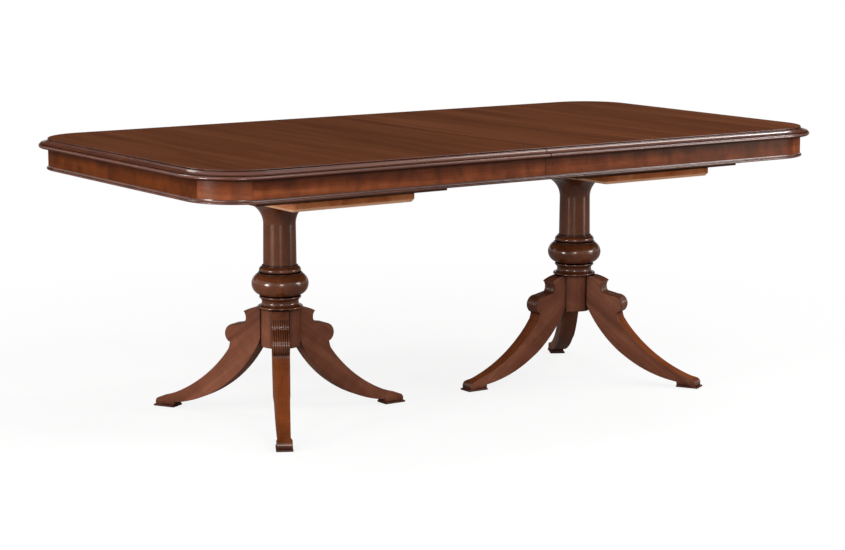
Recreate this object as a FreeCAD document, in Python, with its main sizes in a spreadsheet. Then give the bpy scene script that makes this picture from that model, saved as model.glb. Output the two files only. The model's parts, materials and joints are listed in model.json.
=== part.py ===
import FreeCAD
import Part
import Sketcher
import math
import os

# Double pedestal dining table, in millimetres.
# X runs along the table, Y towards the back, Z up; the origin is on the floor under the table's middle.
# The left half (-X) and the right half (+X) are mirror images that pull apart on wooden slides.

SIZES = {
    # Whole table
    "table_length": 2032,
    "table_width": 1092,
    "table_height": 762,
    "seam_gap": 0.6,
    # Top panels and their moulded edge
    "top_thickness": 25,
    "corner_radius": 170,
    "edge_width": 25,
    "edge_arris": 1.5,
    "edge_step": 4.5,
    "edge_drop": 12.5,
    "edge_quirk": 2,
    "edge_cove_rise": 14,
    "seam_arris": 0.8,
    # Apron rails, corner blocks and bead
    "apron_inset": 25.5,
    "apron_thickness": 20,
    "apron_height": 49,
    "joint_run": 40,
    "bead_height": 11,
    "bead_reach": 5,
    "bead_nose": 5.5,
    # Glue blocks behind the apron
    "block_side": 24,
    "block_length": 70,
    "block_start": 150,
    "block_end_gap": 106,
    # Bearers and mounting board
    "bearer_length": 580,
    "bearer_thickness": 40,
    "bearer_height": 88,
    "bearer_setback": 3,
    "board_length": 380,
    "board_width": 760,
    "board_thickness": 23,
    "board_bevel": 8,
    "board_round": 14,
    # Screws through the board into the bearers
    "screw_radius": 3,
    "screw_head_radius": 6,
    "screw_head_height": 4,
    "screw_bite": 26,
    "screw_clearance": 0.2,
    "screw_sink": 0.5,
    "board_screw_pitch": 100,
    # Column
    "pedestal_offset": 505,
    "collar_radius": 92,
    "collar_height": 27,
    "cove_height": 59,
    "shaft_top_radius": 44.25,
    "shaft_foot_radius": 45.5,
    "shaft_fillet_radius": 49.5,
    "shaft_fillet_height": 3,
    "shaft_bead_radius": 54,
    "shaft_bead_centre": 47.2,
    "shaft_bead_height": 17,
    "bulb_collar_radius": 60.5,
    "bulb_collar_height": 3,
    "bulb_top_radius": 62,
    "bulb_foot_radius": 50,
    "bulb_centre": 45.6,
    "bulb_height": 59,
    "neck_ring_radius": 52.5,
    "neck_ring_height": 9,
    "scotia_top_radius": 53.5,
    "scotia_foot_radius": 55,
    "scotia_centre": 63,
    "scotia_height": 19,
    "foot_ring_radius": 58,
    "foot_ring_height": 8,
    "hub_radius": 53,
    "hub_flat": 47,
    "hub_bottom": 203,
    "hub_height": 106,
    "hub_round": 4,
    # Tie rod through the column
    "rod_radius": 5,
    "rod_clearance": 0.5,
    "rod_end": 3,
    "nut_radius": 9.8,
    "nut_height": 8,
    "washer_radius": 14,
    "washer_thickness": 2.5,
    "recess_radius": 16,
    # Legs, radii measured from the column's axis
    "leg_width": 47,
    "leg_seat": 60,
    "lip_radius": 100,
    "lip_drop": 14,
    "lip_crown_centre": 43,
    "lip_thickness": 3,
    "cove_lip": 98.5,
    "cove_foot_radius": 98,
    "cove_foot_drop": 45,
    "leg_cove_centre": 117,
    "knob_radius": 27.5,
    "knob_centre": 133,
    "knob_centre_drop": 80,
    "knob_foot_rise": 24.8,
    "notch_radius": 145.5,
    "notch_drop": 110,
    "sabre_start_radius": 149.5,
    "sabre_start_drop": 121.6,
    "sabre_centre": 493,
    "ankle_radius": 381.4,
    "toe_height": 20.55,
    "toe_centre": 378,
    "toe_rise": 8,
    "toe_radius": 391,
    "heel_radius": 331,
    "heel_height": 9,
    "under_centre": 381,
    "under_rise": 19,
    "sabre_width": 43,
    "sabre_width_radius": 168,
    "ankle_width": 34,
    "waist_radius": 364,
    "foot_width": 42.5,
    "flare_radius": 376,
    "pad_width": 45,
    "pad_thickness": 5,
    "pad_toe": 397,
    # Reeds carved over each leg's scroll
    "reed_depth": 1.8,
    "flute_width": 2.2,
    # Leg dowels
    "dowel_radius": 6,
    "dowel_length": 50,
    "dowel_clearance": 0.1,
    "dowel_end_gap": 1,
    "dowel_upper_drop": 22,
    "dowel_pitch": 42,
    # Foot glides
    "glide_radius": 12,
    "glide_height": 2,
    # Extension slides
    "slide_centre": 200,
    "rail_width": 28,
    "rail_height": 58,
    "rail_length": 900,
    "rail_overhang": 300,
    "slide_clearance": 0.4,
    "slide_relief": 1,
    "tongue_root": 14,
    "tongue_tip": 20,
    "tongue_depth": 9,
    "rail_screw_radius": 2.5,
    "rail_screw_bite": 12,
    "rail_screw_head_radius": 5,
    "rail_screw_head_height": 3,
    "rail_screw_edge": 9,
    "rail_screw_start": 90,
    "rail_screw_pitch": 150,
    # Alignment pins in the seam
    "pin_radius": 4.5,
    "pin_reach": 14,
    "pin_seat": 20,
    "pin_clearance": 0.4,
    "pin_edge": 96,
    # Swing locks under the seam
    "lock_inset": 100.5,
    "lock_plate_thickness": 2.5,
    "lock_plate_width": 40,
    "lock_plate_length": 60,
    "lock_plate_edge": 10,
    "pivot_setback": 28,
    "pivot_radius": 4,
    "pivot_head_radius": 7.5,
    "pivot_head_height": 2,
    "lock_clearance": 0.3,
    "pivot_clearance": 0.1,
    "lever_thickness": 4,
    "lever_width": 26,
    "lever_tip": 14,
    "lever_tab": 12,
    "lever_tab_thickness": 3,
    "post_setback": 17,
    "post_radius": 4,
    "post_clearance": 0.6,
    "keeper_length": 34,
    "keeper_edge": 5,
}

BOARD_SCREW_COUNT = 4
RAIL_SCREW_COUNT = 4
SEAM_PIN_COUNT = 4
GLUE_BLOCK_COUNT = 3
LEGS = 3
REEDS = 8
CUT_MARGIN = 5.0


class Size:
    """A length together with the sheet expression that drives it."""

    def __init__(self, value, text):
        self.value = value
        self.text = text

    def __add__(self, other):
        other = as_size(other)
        return Size(self.value + other.value, f"({self.text} + {other.text})")

    def __sub__(self, other):
        other = as_size(other)
        return Size(self.value - other.value, f"({self.text} - {other.text})")

    def __mul__(self, other):
        other = as_size(other)
        return Size(self.value * other.value, f"({self.text} * {other.text})")

    def __truediv__(self, other):
        other = as_size(other)
        return Size(self.value / other.value, f"({self.text} / {other.text})")

    def __neg__(self):
        return Size(-self.value, f"(0 - {self.text})")

    def __rsub__(self, other):
        return as_size(other) - self

    __radd__ = __add__
    __rmul__ = __mul__


def as_size(number):
    if isinstance(number, Size):
        return number
    return Size(float(number), f"({float(number)})")


def root(size):
    return Size(math.sqrt(size.value), f"sqrt({size.text})")


class Sheet:
    """The document's sheet of driving dimensions, read as attributes."""

    def __init__(self, document, sizes):
        self.cells = document.addObject("Spreadsheet::Sheet", "Sizes")
        for row, (name, value) in enumerate(sizes.items(), start=1):
            self.cells.set(f"A{row}", name)
            self.cells.set(f"B{row}", str(value))
            self.cells.setAlias(f"B{row}", name)
            setattr(self, name, Size(float(value), f"Sizes.{name}"))


doc = FreeCAD.newDocument("DoublePedestalTable")
s = Sheet(doc, SIZES)
doc.recompute()


# Drawing helpers

class Arc:
    """A round stretch of an outline, fixed by one coordinate of its centre."""

    def __init__(self, x=None, y=None, clockwise=False):
        self.x = x
        self.y = y
        self.clockwise = clockwise

    def centre(self, start, end):
        mid_x = (start[0] + end[0]) / 2
        mid_y = (start[1] + end[1]) / 2
        run = end[0] - start[0]
        rise = end[1] - start[1]
        if self.x is not None:
            return self.x.value, mid_y - (self.x.value - mid_x) * run / rise
        return mid_x - (self.y.value - mid_y) * rise / run, self.y.value


def bind(sketch, kind, item, point, size):
    index = sketch.addConstraint(Sketcher.Constraint(kind, -1, 1, item, point, size.value))
    sketch.setExpression(f"Constraints[{index}]", size.text)


def draw(sketch, outline, closed=True):
    """Draw corners (x, y) or (x, y, Arc); an Arc leads from its corner to the next one."""
    corners = [(as_size(corner[0]), as_size(corner[1])) for corner in outline]
    count = len(corners)
    spans = count if closed else count - 1
    first = sketch.GeometryCount
    ends = []
    for i in range(spans):
        start = (corners[i][0].value, corners[i][1].value)
        end = (corners[(i + 1) % count][0].value, corners[(i + 1) % count][1].value)
        if len(outline[i]) == 2:
            line = Part.LineSegment(FreeCAD.Vector(*start, 0), FreeCAD.Vector(*end, 0))
            sketch.addGeometry(line)
            ends.append((1, 2))
            continue
        arc = outline[i][2]
        centre = arc.centre(start, end)
        circle = Part.Circle()
        circle.Center = FreeCAD.Vector(*centre, 0)
        circle.Radius = math.dist(centre, start)
        angle_start = math.atan2(start[1] - centre[1], start[0] - centre[0])
        angle_end = math.atan2(end[1] - centre[1], end[0] - centre[0])
        if arc.clockwise:
            angle_start, angle_end = angle_end, angle_start
        if angle_end <= angle_start:
            angle_end += 2 * math.pi
        sketch.addGeometry(Part.ArcOfCircle(circle, angle_start, angle_end))
        ends.append((2, 1) if arc.clockwise else (1, 2))
    for i in range(spans if closed else spans - 1):
        following = (i + 1) % spans
        join = Sketcher.Constraint("Coincident", first + i, ends[i][1], first + following, ends[following][0])
        sketch.addConstraint(join)
    for i, (x, y) in enumerate(corners):
        item, point = (first + i, ends[i][0]) if i < spans else (first + i - 1, ends[i - 1][1])
        bind(sketch, "DistanceX", item, point, x)
        bind(sketch, "DistanceY", item, point, y)
    for i in range(spans):
        if len(outline[i]) == 3 and outline[i][2].x is not None:
            bind(sketch, "DistanceX", first + i, 3, outline[i][2].x)
        elif len(outline[i]) == 3:
            bind(sketch, "DistanceY", first + i, 3, outline[i][2].y)


def draw_circle(sketch, x, y, radius):
    x = as_size(x)
    y = as_size(y)
    circle = Part.Circle()
    circle.Center = FreeCAD.Vector(x.value, y.value, 0)
    circle.Radius = radius.value
    item = sketch.addGeometry(circle)
    bind(sketch, "DistanceX", item, 3, x)
    bind(sketch, "DistanceY", item, 3, y)
    index = sketch.addConstraint(Sketcher.Constraint("Radius", item, radius.value))
    sketch.setExpression(f"Constraints[{index}]", radius.text)


def rectangle(x_low, x_high, y_low, y_high):
    return [(x_low, y_low), (x_high, y_low), (x_high, y_high), (x_low, y_high)]


def rounded_rectangle(x_low, x_high, y_low, y_high, radius):
    return [
        (x_low + radius, y_low),
        (x_high - radius, y_low, Arc(x=x_high - radius)),
        (x_high, y_low + radius),
        (x_high, y_high - radius, Arc(y=y_high - radius)),
        (x_high - radius, y_high),
        (x_low + radius, y_high, Arc(x=x_low + radius)),
        (x_low, y_high - radius),
        (x_low, y_low + radius, Arc(y=y_low + radius)),
    ]


def new_body(label):
    body = doc.addObject("PartDesign::Body", label)
    body.Label = label
    return body


def origin_item(body, role):
    return next(item for item in body.Origin.OriginFeatures if item.Role == role)


def new_sketch(body, plane, offset=0):
    """A sketch on one of the body's own planes, moved along that plane's normal."""
    sketch = body.newObject("Sketcher::SketchObject", f"{body.Name}_sketch")
    sketch.AttachmentSupport = [(origin_item(body, plane), "")]
    sketch.MapMode = "FlatFace"
    sketch.setExpression("AttachmentOffset.Base.z", as_size(offset).text)
    return sketch


def extrude(body, sketch, length, cut=False, reverse=False, symmetric=False):
    kind = "Pocket" if cut else "Pad"
    feature = body.newObject(f"PartDesign::{kind}", f"{body.Name}_{kind.lower()}")
    feature.Profile = sketch
    feature.setExpression("Length", as_size(length).text)
    feature.Reversed = reverse
    if symmetric:
        feature.SideType = "Symmetric"
    return feature


def revolve(body, sketch):
    feature = body.newObject("PartDesign::Revolution", f"{body.Name}_turning")
    feature.Profile = sketch
    feature.ReferenceAxis = (origin_item(body, "Z_Axis"), [""])
    feature.Angle = 360
    return feature


def sweep(body, profile, spine, cut=False):
    kind = "SubtractivePipe" if cut else "AdditivePipe"
    feature = body.newObject(f"PartDesign::{kind}", f"{body.Name}_sweep")
    feature.Profile = profile
    feature.Spine = (spine, [""])
    return feature


def polar(body, features):
    doc.recompute()
    pattern = body.newObject("PartDesign::PolarPattern", f"{body.Name}_polar")
    pattern.Originals = features
    pattern.Axis = (origin_item(body, "Z_Axis"), [""])
    pattern.Angle = 360
    pattern.Occurrences = LEGS
    body.Tip = pattern
    return pattern


def row(body, features, axis, pitch, count, reverse=False):
    """Repeat features along an axis at a pitch."""
    doc.recompute()
    pattern = body.newObject("PartDesign::LinearPattern", f"{body.Name}_row")
    pattern.Originals = features
    pattern.Direction = (origin_item(body, axis), [""])
    pattern.Mode = "Spacing"
    pattern.setExpression("Offset", as_size(pitch).text)
    pattern.Occurrences = count
    pattern.Reversed = reverse
    body.Tip = pattern
    return pattern


def mirror(body, features, plane="XZ_Plane"):
    doc.recompute()
    pattern = body.newObject("PartDesign::Mirrored", f"{body.Name}_mirror")
    pattern.Originals = features
    pattern.MirrorPlane = (origin_item(body, plane), [""])
    body.Tip = pattern
    return pattern


def place(body, x, angle):
    """Stand a body on a pedestal's axis, turned about it."""
    body.Placement = FreeCAD.Placement(FreeCAD.Vector(), FreeCAD.Rotation(FreeCAD.Vector(0, 0, 1), angle))
    body.setExpression("Placement.Base.x", x.text)


def slab(label, x_low, x_high, y_low, y_high, z_low, z_high):
    body = new_body(label)
    sketch = new_sketch(body, "XY_Plane", z_low)
    draw(sketch, rectangle(x_low, x_high, y_low, y_high))
    extrude(body, sketch, z_high - z_low)
    return body


# Levels and places that several pieces share

top_under = s.table_height - s.top_thickness
apron_bottom = top_under - s.apron_height
bead_bottom = apron_bottom - s.bead_height
board_top = top_under - s.bearer_height
board_bottom = board_top - s.board_thickness
hub_top = s.hub_bottom + s.hub_height
vase_height = (s.foot_ring_height + s.scotia_height + s.neck_ring_height
               + s.bulb_height + s.bulb_collar_height)
vase_top = hub_top + vase_height
rod_bore = s.rod_radius + s.rod_clearance
seam_half = s.seam_gap / 2
half_length = s.table_length / 2
half_width = s.table_width / 2
corner_x = half_length - s.corner_radius
corner_y = half_width - s.corner_radius
apron_radius = s.corner_radius - s.apron_inset
apron_inner_radius = apron_radius - s.apron_thickness
apron_face_y = half_width - s.apron_inset
apron_face_x = half_length - s.apron_inset
apron_inner_y = apron_face_y - s.apron_thickness
lock_y = apron_inner_y - s.lock_inset
pin_y = half_width - s.pin_edge
pin_pitch = 2 * pin_y / (SEAM_PIN_COUNT - 1)
bearer_face = s.board_width / 2 - s.bearer_setback
bearer_middle = bearer_face - s.bearer_thickness / 2
rail_bottom = top_under - s.rail_height
rail_pitch = s.rail_width + s.slide_clearance
inner_rail_face = s.slide_centre - rail_pitch - s.rail_width / 2
outer_rail_face = s.slide_centre + rail_pitch + s.rail_width / 2
slot_radius = s.pivot_setback + s.post_setback
lever_top = top_under - s.lock_plate_thickness - s.lock_clearance
lever_bottom = lever_top - s.lever_thickness


# Top panels

def top_outline(sign):
    """Plan of one half of the top at its nose, from the seam round both corners."""
    x_seam = sign * seam_half
    turn = sign < 0
    return [
        (x_seam, -half_width),
        (sign * corner_x, -half_width, Arc(x=sign * corner_x, clockwise=turn)),
        (sign * half_length, -corner_y),
        (sign * half_length, corner_y, Arc(y=corner_y, clockwise=turn)),
        (sign * corner_x, half_width),
        (x_seam, half_width),
    ]


def edge_section():
    """Waste outside the moulded edge: arris, step, cove, quirk and half-round nose."""
    top = s.table_height
    nose_top = top - s.edge_drop - s.edge_quirk
    flat_edge = half_width - s.edge_width
    nose_y = half_width - (nose_top - top_under) / 2
    waste = half_width + CUT_MARGIN
    return [
        (flat_edge - s.edge_arris, top, Arc(x=flat_edge - s.edge_arris, clockwise=True)),
        (flat_edge, top - s.edge_arris),
        (flat_edge, top - s.edge_step, Arc(y=top + s.edge_cove_rise)),
        (nose_y, top - s.edge_drop),
        (nose_y, nose_top, Arc(x=nose_y, clockwise=True)),
        (nose_y, top_under),
        (nose_y, top_under - CUT_MARGIN),
        (waste, top_under - CUT_MARGIN),
        (waste, top + CUT_MARGIN),
        (flat_edge - s.edge_arris, top + CUT_MARGIN),
    ]


def make_top(side, sign):
    body = new_body(f"{side}_top_panel")
    plan = new_sketch(body, "XY_Plane", top_under)
    draw(plan, top_outline(sign))
    extrude(body, plan, s.top_thickness)

    spine = new_sketch(body, "XY_Plane", top_under)
    path = top_outline(sign)
    start = (-sign * CUT_MARGIN, half_width)
    draw(spine, [(start[0], -half_width)] + path[1:5] + [start], closed=False)
    profile = new_sketch(body, "YZ_Plane", start[0])
    draw(profile, [(-corner[0], corner[1]) + mirrored_arc(corner) for corner in edge_section()])
    sweep(body, profile, spine, cut=True)

    arris = new_sketch(body, "XZ_Plane")
    draw(arris, [
        (sign * (seam_half - CUT_MARGIN), s.table_height + CUT_MARGIN),
        (sign * (seam_half - CUT_MARGIN), s.table_height - s.seam_arris - CUT_MARGIN),
        (sign * (seam_half + s.seam_arris + CUT_MARGIN), s.table_height + CUT_MARGIN),
    ])
    extrude(body, arris, s.table_width, cut=True, symmetric=True)

    pins = new_sketch(body, "YZ_Plane", sign * seam_half)
    pin_hole = s.pin_radius + (s.pin_clearance if sign < 0 else 0)
    depth = s.pin_reach + s.pin_clearance if sign < 0 else s.pin_seat
    draw_circle(pins, -pin_y, s.table_height - s.top_thickness / 2, pin_hole)
    hole = extrude(body, pins, depth, cut=True, reverse=sign > 0)
    row(body, [hole], "Y_Axis", pin_pitch, SEAM_PIN_COUNT)

    bores = new_sketch(body, "XY_Plane", top_under)
    draw_rail_screws(bores, sign, s.rail_screw_radius + s.screw_clearance)
    bore = extrude(body, bores, s.rail_screw_bite + s.screw_clearance, cut=True, reverse=True)
    row(body, [bore], "X_Axis", s.rail_screw_pitch, RAIL_SCREW_COUNT, reverse=sign < 0)


def mirrored_arc(corner):
    """The arc of a corner, if it has one, when the outline is mirrored across the table's length."""
    if len(corner) == 2:
        return ()
    arc = corner[2]
    return (Arc(x=None if arc.x is None else -arc.x, y=arc.y, clockwise=not arc.clockwise),)


# Apron, bead and glue blocks

def joint_points(sign, front, radius):
    """Where a bend of a radius is cut: at its joint with the end rail and with the front or back rail."""
    reach = root(radius * radius - s.joint_run * s.joint_run)
    at_end = (sign * (corner_x + reach), front * (corner_y + s.joint_run))
    at_side = (sign * (corner_x + s.joint_run), front * (corner_y + reach))
    return at_end, at_side


def corner_plan(sign, front):
    """Plan of a bent corner block between its two joints."""
    x = sign * corner_x
    turn = (sign * front) > 0
    outer_end, outer_side = joint_points(sign, front, apron_radius)
    inner_end, inner_side = joint_points(sign, front, apron_inner_radius)
    return [
        (*outer_side, Arc(x=x, clockwise=turn)),
        outer_end,
        (*inner_end, Arc(x=x, clockwise=not turn)),
        inner_side,
    ]


def side_rail_plan(sign, front):
    """Plan of a front or back rail, straight from the seam and bent where the corner begins."""
    x = sign * corner_x
    turn = (sign * front) > 0
    outer_side = joint_points(sign, front, apron_radius)[1]
    inner_side = joint_points(sign, front, apron_inner_radius)[1]
    return [
        (sign * seam_half, front * apron_face_y),
        (x, front * apron_face_y, Arc(x=x, clockwise=turn)),
        outer_side,
        (*inner_side, Arc(x=x, clockwise=not turn)),
        (x, front * apron_inner_y),
        (sign * seam_half, front * apron_inner_y),
    ]


def end_rail_plan(sign):
    """Plan of an end rail, bent at both ends."""
    face = sign * apron_face_x
    inner_face = sign * (apron_face_x - s.apron_thickness)
    turn = sign > 0
    return [
        (*joint_points(sign, -1, apron_radius)[0], Arc(y=-corner_y, clockwise=not turn)),
        (face, -corner_y),
        (face, corner_y, Arc(y=corner_y, clockwise=not turn)),
        joint_points(sign, 1, apron_radius)[0],
        (*joint_points(sign, 1, apron_inner_radius)[0], Arc(y=corner_y, clockwise=turn)),
        (inner_face, corner_y),
        (inner_face, -corner_y, Arc(y=-corner_y, clockwise=turn)),
        joint_points(sign, -1, apron_inner_radius)[0],
    ]


def bead_section(face, level, outward):
    """A strip as deep as the apron, coved out from its face to a half-round nose."""
    nose = face + s.bead_reach - s.bead_nose / 2
    inner = face - s.apron_thickness
    top = level + s.bead_height
    return [
        (outward * inner, level),
        (outward * nose, level, Arc(x=outward * nose, clockwise=outward < 0)),
        (outward * nose, level + s.bead_nose, Arc(y=top, clockwise=outward > 0)),
        (outward * face, top),
        (outward * inner, top),
    ]


def make_apron(side, sign):
    plans = {
        "front_apron": side_rail_plan(sign, -1),
        "back_apron": side_rail_plan(sign, 1),
        "end_apron": end_rail_plan(sign),
        "front_corner": corner_plan(sign, -1),
        "back_corner": corner_plan(sign, 1),
    }
    for name, outline in plans.items():
        piece = new_body(f"{side}_{name}")
        plan = new_sketch(piece, "XY_Plane", apron_bottom)
        draw(plan, outline)
        extrude(piece, plan, s.apron_height)

    strips = new_body(f"{side}_straight_beads")
    front_section = new_sketch(strips, "YZ_Plane", sign * seam_half)
    draw(front_section, bead_section(apron_face_y, bead_bottom, -1))
    front_strip = extrude(strips, front_section, corner_x - seam_half, reverse=sign < 0)
    mirror(strips, [front_strip])
    end_section = new_sketch(strips, "XZ_Plane")
    draw(end_section, bead_section(apron_face_x, bead_bottom, sign))
    strips.Tip = extrude(strips, end_section, 2 * corner_y, symmetric=True)

    bends = new_body(f"{side}_corner_beads")
    spine = new_sketch(bends, "XY_Plane", bead_bottom)
    draw(spine, [
        (sign * corner_x, -apron_face_y, Arc(x=sign * corner_x, clockwise=sign < 0)),
        (sign * apron_face_x, -corner_y),
    ], closed=False)
    profile = new_sketch(bends, "YZ_Plane", sign * corner_x)
    draw(profile, bead_section(apron_face_y, bead_bottom, -1))
    bend = sweep(bends, profile, spine)
    mirror(bends, [bend])

    blocks = new_body(f"{side}_glue_blocks")
    section = new_sketch(blocks, "YZ_Plane", sign * s.block_start)
    for front in (-1, 1):
        draw(section, [
            (front * apron_inner_y, top_under),
            (front * apron_inner_y, top_under - s.block_side),
            (front * (apron_inner_y - s.block_side), top_under),
        ])
    block = extrude(blocks, section, s.block_length, reverse=sign < 0)
    last_start = corner_x - s.block_end_gap - s.block_length
    pitch = (last_start - s.block_start) / (GLUE_BLOCK_COUNT - 1)
    row(blocks, [block], "X_Axis", pitch, GLUE_BLOCK_COUNT, reverse=sign < 0)


def sorted_pair(first, second):
    return (first, second) if first.value < second.value else (second, first)


# Bearers, mounting board and its screws

def board_screw_x(sign):
    """The first board screw of a row, nearest the left."""
    return sign * s.pedestal_offset - s.board_screw_pitch * (BOARD_SCREW_COUNT - 1) / 2


def draw_board_screws(sketch, sign, radius):
    for front in (-1, 1):
        draw_circle(sketch, board_screw_x(sign), front * bearer_middle, radius)


def bottom_edges(shape, level):
    names = []
    for number, edge in enumerate(shape.Edges, start=1):
        if all(abs(vertex.Z - level) < 1e-6 for vertex in edge.Vertexes):
            names.append(f"Edge{number}")
    return names


def make_carrier(side, sign):
    middle = sign * s.pedestal_offset
    for name, front in (("front", -1), ("back", 1)):
        faces = sorted_pair(front * bearer_face, front * (bearer_face - s.bearer_thickness))
        bearer = slab(f"{side}_{name}_bearer", middle - s.bearer_length / 2, middle + s.bearer_length / 2,
                      *faces, board_top, top_under)
        pilots = new_sketch(bearer, "XY_Plane", board_top)
        draw_circle(pilots, board_screw_x(sign), front * bearer_middle, s.screw_radius + s.screw_clearance)
        pilot = extrude(bearer, pilots, s.screw_bite + s.screw_clearance, cut=True, reverse=True)
        row(bearer, [pilot], "X_Axis", s.board_screw_pitch, BOARD_SCREW_COUNT)

    board = new_body(f"{side}_mounting_board")
    plan = new_sketch(board, "XY_Plane", board_bottom)
    draw(plan, rounded_rectangle(middle - s.board_length / 2, middle + s.board_length / 2,
                                 -s.board_width / 2, s.board_width / 2, s.board_round))
    extrude(board, plan, s.board_thickness)
    doc.recompute()
    blank = board.Tip
    bevel = board.newObject("PartDesign::Chamfer", f"{board.Name}_bevel")
    bevel.Base = (blank, bottom_edges(blank.Shape, board_bottom.value))
    bevel.setExpression("Size", s.board_bevel.text)
    board.Tip = bevel
    rod_hole = new_sketch(board, "XY_Plane", board_bottom)
    draw_circle(rod_hole, middle, 0, rod_bore)
    extrude(board, rod_hole, s.board_thickness, cut=True, reverse=True)
    holes = new_sketch(board, "XY_Plane", board_bottom)
    draw_board_screws(holes, sign, s.screw_radius + s.screw_clearance)
    hole = extrude(board, holes, s.board_thickness, cut=True, reverse=True)
    recesses = new_sketch(board, "XY_Plane", board_bottom)
    draw_board_screws(recesses, sign, s.screw_head_radius + s.screw_clearance)
    recess = extrude(board, recesses, s.screw_sink + s.screw_head_height, cut=True, reverse=True)
    row(board, [hole, recess], "X_Axis", s.board_screw_pitch, BOARD_SCREW_COUNT)

    screws = new_body(f"{side}_board_screws")
    head_foot = board_bottom + s.screw_sink
    head_top = head_foot + s.screw_head_height
    heads = new_sketch(screws, "XY_Plane", head_foot)
    draw_board_screws(heads, sign, s.screw_head_radius)
    head = extrude(screws, heads, s.screw_head_height)
    shanks = new_sketch(screws, "XY_Plane", head_top)
    draw_board_screws(shanks, sign, s.screw_radius)
    shank = extrude(screws, shanks, board_top + s.screw_bite - head_top)
    row(screws, [head, shank], "X_Axis", s.board_screw_pitch, BOARD_SCREW_COUNT)


# Turned column

def make_column(side, sign):
    x = sign * s.pedestal_offset
    turn = 0 if sign < 0 else 180

    shaft = new_body(f"{side}_column_shaft")
    collar_bottom = board_bottom - s.collar_height
    cove_bottom = collar_bottom - s.cove_height
    bead_top = vase_top + s.shaft_bead_height
    fillet_top = bead_top + s.shaft_fillet_height
    profile = new_sketch(shaft, "XZ_Plane")
    draw(profile, [
        (rod_bore, vase_top),
        (s.shaft_bead_radius, vase_top, Arc(x=s.shaft_bead_centre)),
        (s.shaft_fillet_radius, bead_top),
        (s.shaft_fillet_radius, fillet_top),
        (s.shaft_foot_radius, fillet_top),
        (s.shaft_top_radius, cove_bottom, Arc(y=cove_bottom, clockwise=True)),
        (s.collar_radius, collar_bottom),
        (s.collar_radius, board_bottom),
        (rod_bore, board_bottom),
    ])
    revolve(shaft, profile)
    place(shaft, x, turn)

    vase = new_body(f"{side}_column_vase")
    scotia_foot = hub_top + s.foot_ring_height
    ring_foot = scotia_foot + s.scotia_height
    bulb_foot = ring_foot + s.neck_ring_height
    bulb_top = bulb_foot + s.bulb_height
    profile = new_sketch(vase, "XZ_Plane")
    draw(profile, [
        (rod_bore, hub_top),
        (s.foot_ring_radius, hub_top, Arc(x=s.foot_ring_radius)),
        (s.foot_ring_radius, scotia_foot),
        (s.scotia_foot_radius, scotia_foot, Arc(x=s.scotia_centre, clockwise=True)),
        (s.scotia_top_radius, ring_foot),
        (s.neck_ring_radius, ring_foot, Arc(x=s.neck_ring_radius)),
        (s.neck_ring_radius, bulb_foot),
        (s.bulb_foot_radius, bulb_foot, Arc(x=s.bulb_centre)),
        (s.bulb_top_radius, bulb_top),
        (s.bulb_collar_radius, bulb_top),
        (s.bulb_collar_radius, vase_top),
        (rod_bore, vase_top),
    ])
    revolve(vase, profile)
    place(vase, x, turn)

    make_hub(side, x, turn)
    make_tie_rod(side, x, turn)


def make_hub(side, x, turn):
    hub = new_body(f"{side}_hub")
    recess_top = s.hub_bottom + s.rod_end + s.nut_height + s.washer_thickness
    profile = new_sketch(hub, "XZ_Plane")
    draw(profile, [
        (rod_bore, recess_top),
        (s.recess_radius, recess_top),
        (s.recess_radius, s.hub_bottom),
        (s.hub_radius - s.hub_round, s.hub_bottom, Arc(x=s.hub_radius - s.hub_round)),
        (s.hub_radius, s.hub_bottom + s.hub_round),
        (s.hub_radius, hub_top),
        (rod_bore, hub_top),
    ])
    revolve(hub, profile)
    flats = new_sketch(hub, "XY_Plane", s.hub_bottom)
    draw(flats, rectangle(s.hub_flat, s.hub_radius + CUT_MARGIN, -s.hub_radius, s.hub_radius))
    flat = extrude(hub, flats, s.hub_height, cut=True, reverse=True)
    sockets = new_sketch(hub, "YZ_Plane", s.hub_flat)
    draw_dowels(sockets, s.dowel_radius + s.dowel_clearance)
    socket = extrude(hub, sockets, s.dowel_length / 2 + s.dowel_end_gap, cut=True)
    polar(hub, [flat, socket])
    place(hub, x, turn)


def make_tie_rod(side, x, turn):
    rod_foot = s.hub_bottom
    lower_nut = rod_foot + s.rod_end
    lower_washer = lower_nut + s.nut_height
    upper_nut = board_top + s.washer_thickness
    rod_top = upper_nut + s.nut_height + s.rod_end
    rod = new_body(f"{side}_tie_rod")
    section = new_sketch(rod, "XY_Plane", rod_foot)
    draw_circle(section, 0, 0, s.rod_radius)
    extrude(rod, section, rod_top - rod_foot)
    place(rod, x, turn)

    nuts = new_body(f"{side}_tie_rod_nuts")
    for nut_foot, washer_foot in ((lower_nut, lower_washer), (upper_nut, board_top)):
        outline = new_sketch(nuts, "XY_Plane", nut_foot)
        corners = []
        for corner in range(6):
            angle = math.radians(60 * corner)
            corners.append((s.nut_radius * math.cos(angle), s.nut_radius * math.sin(angle)))
        draw(outline, corners)
        draw_circle(outline, 0, 0, s.rod_radius)
        extrude(nuts, outline, s.nut_height)
        disc = new_sketch(nuts, "XY_Plane", washer_foot)
        draw_circle(disc, 0, 0, s.washer_radius)
        draw_circle(disc, 0, 0, s.rod_radius)
        nuts.Tip = extrude(nuts, disc, s.washer_thickness)
    place(nuts, x, turn)


# Scrolled and reeded sabre legs

def draw_dowels(sketch, radius):
    upper = hub_top - s.dowel_upper_drop
    draw_circle(sketch, 0, upper, radius)
    draw_circle(sketch, 0, upper - s.dowel_pitch, radius)


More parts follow.
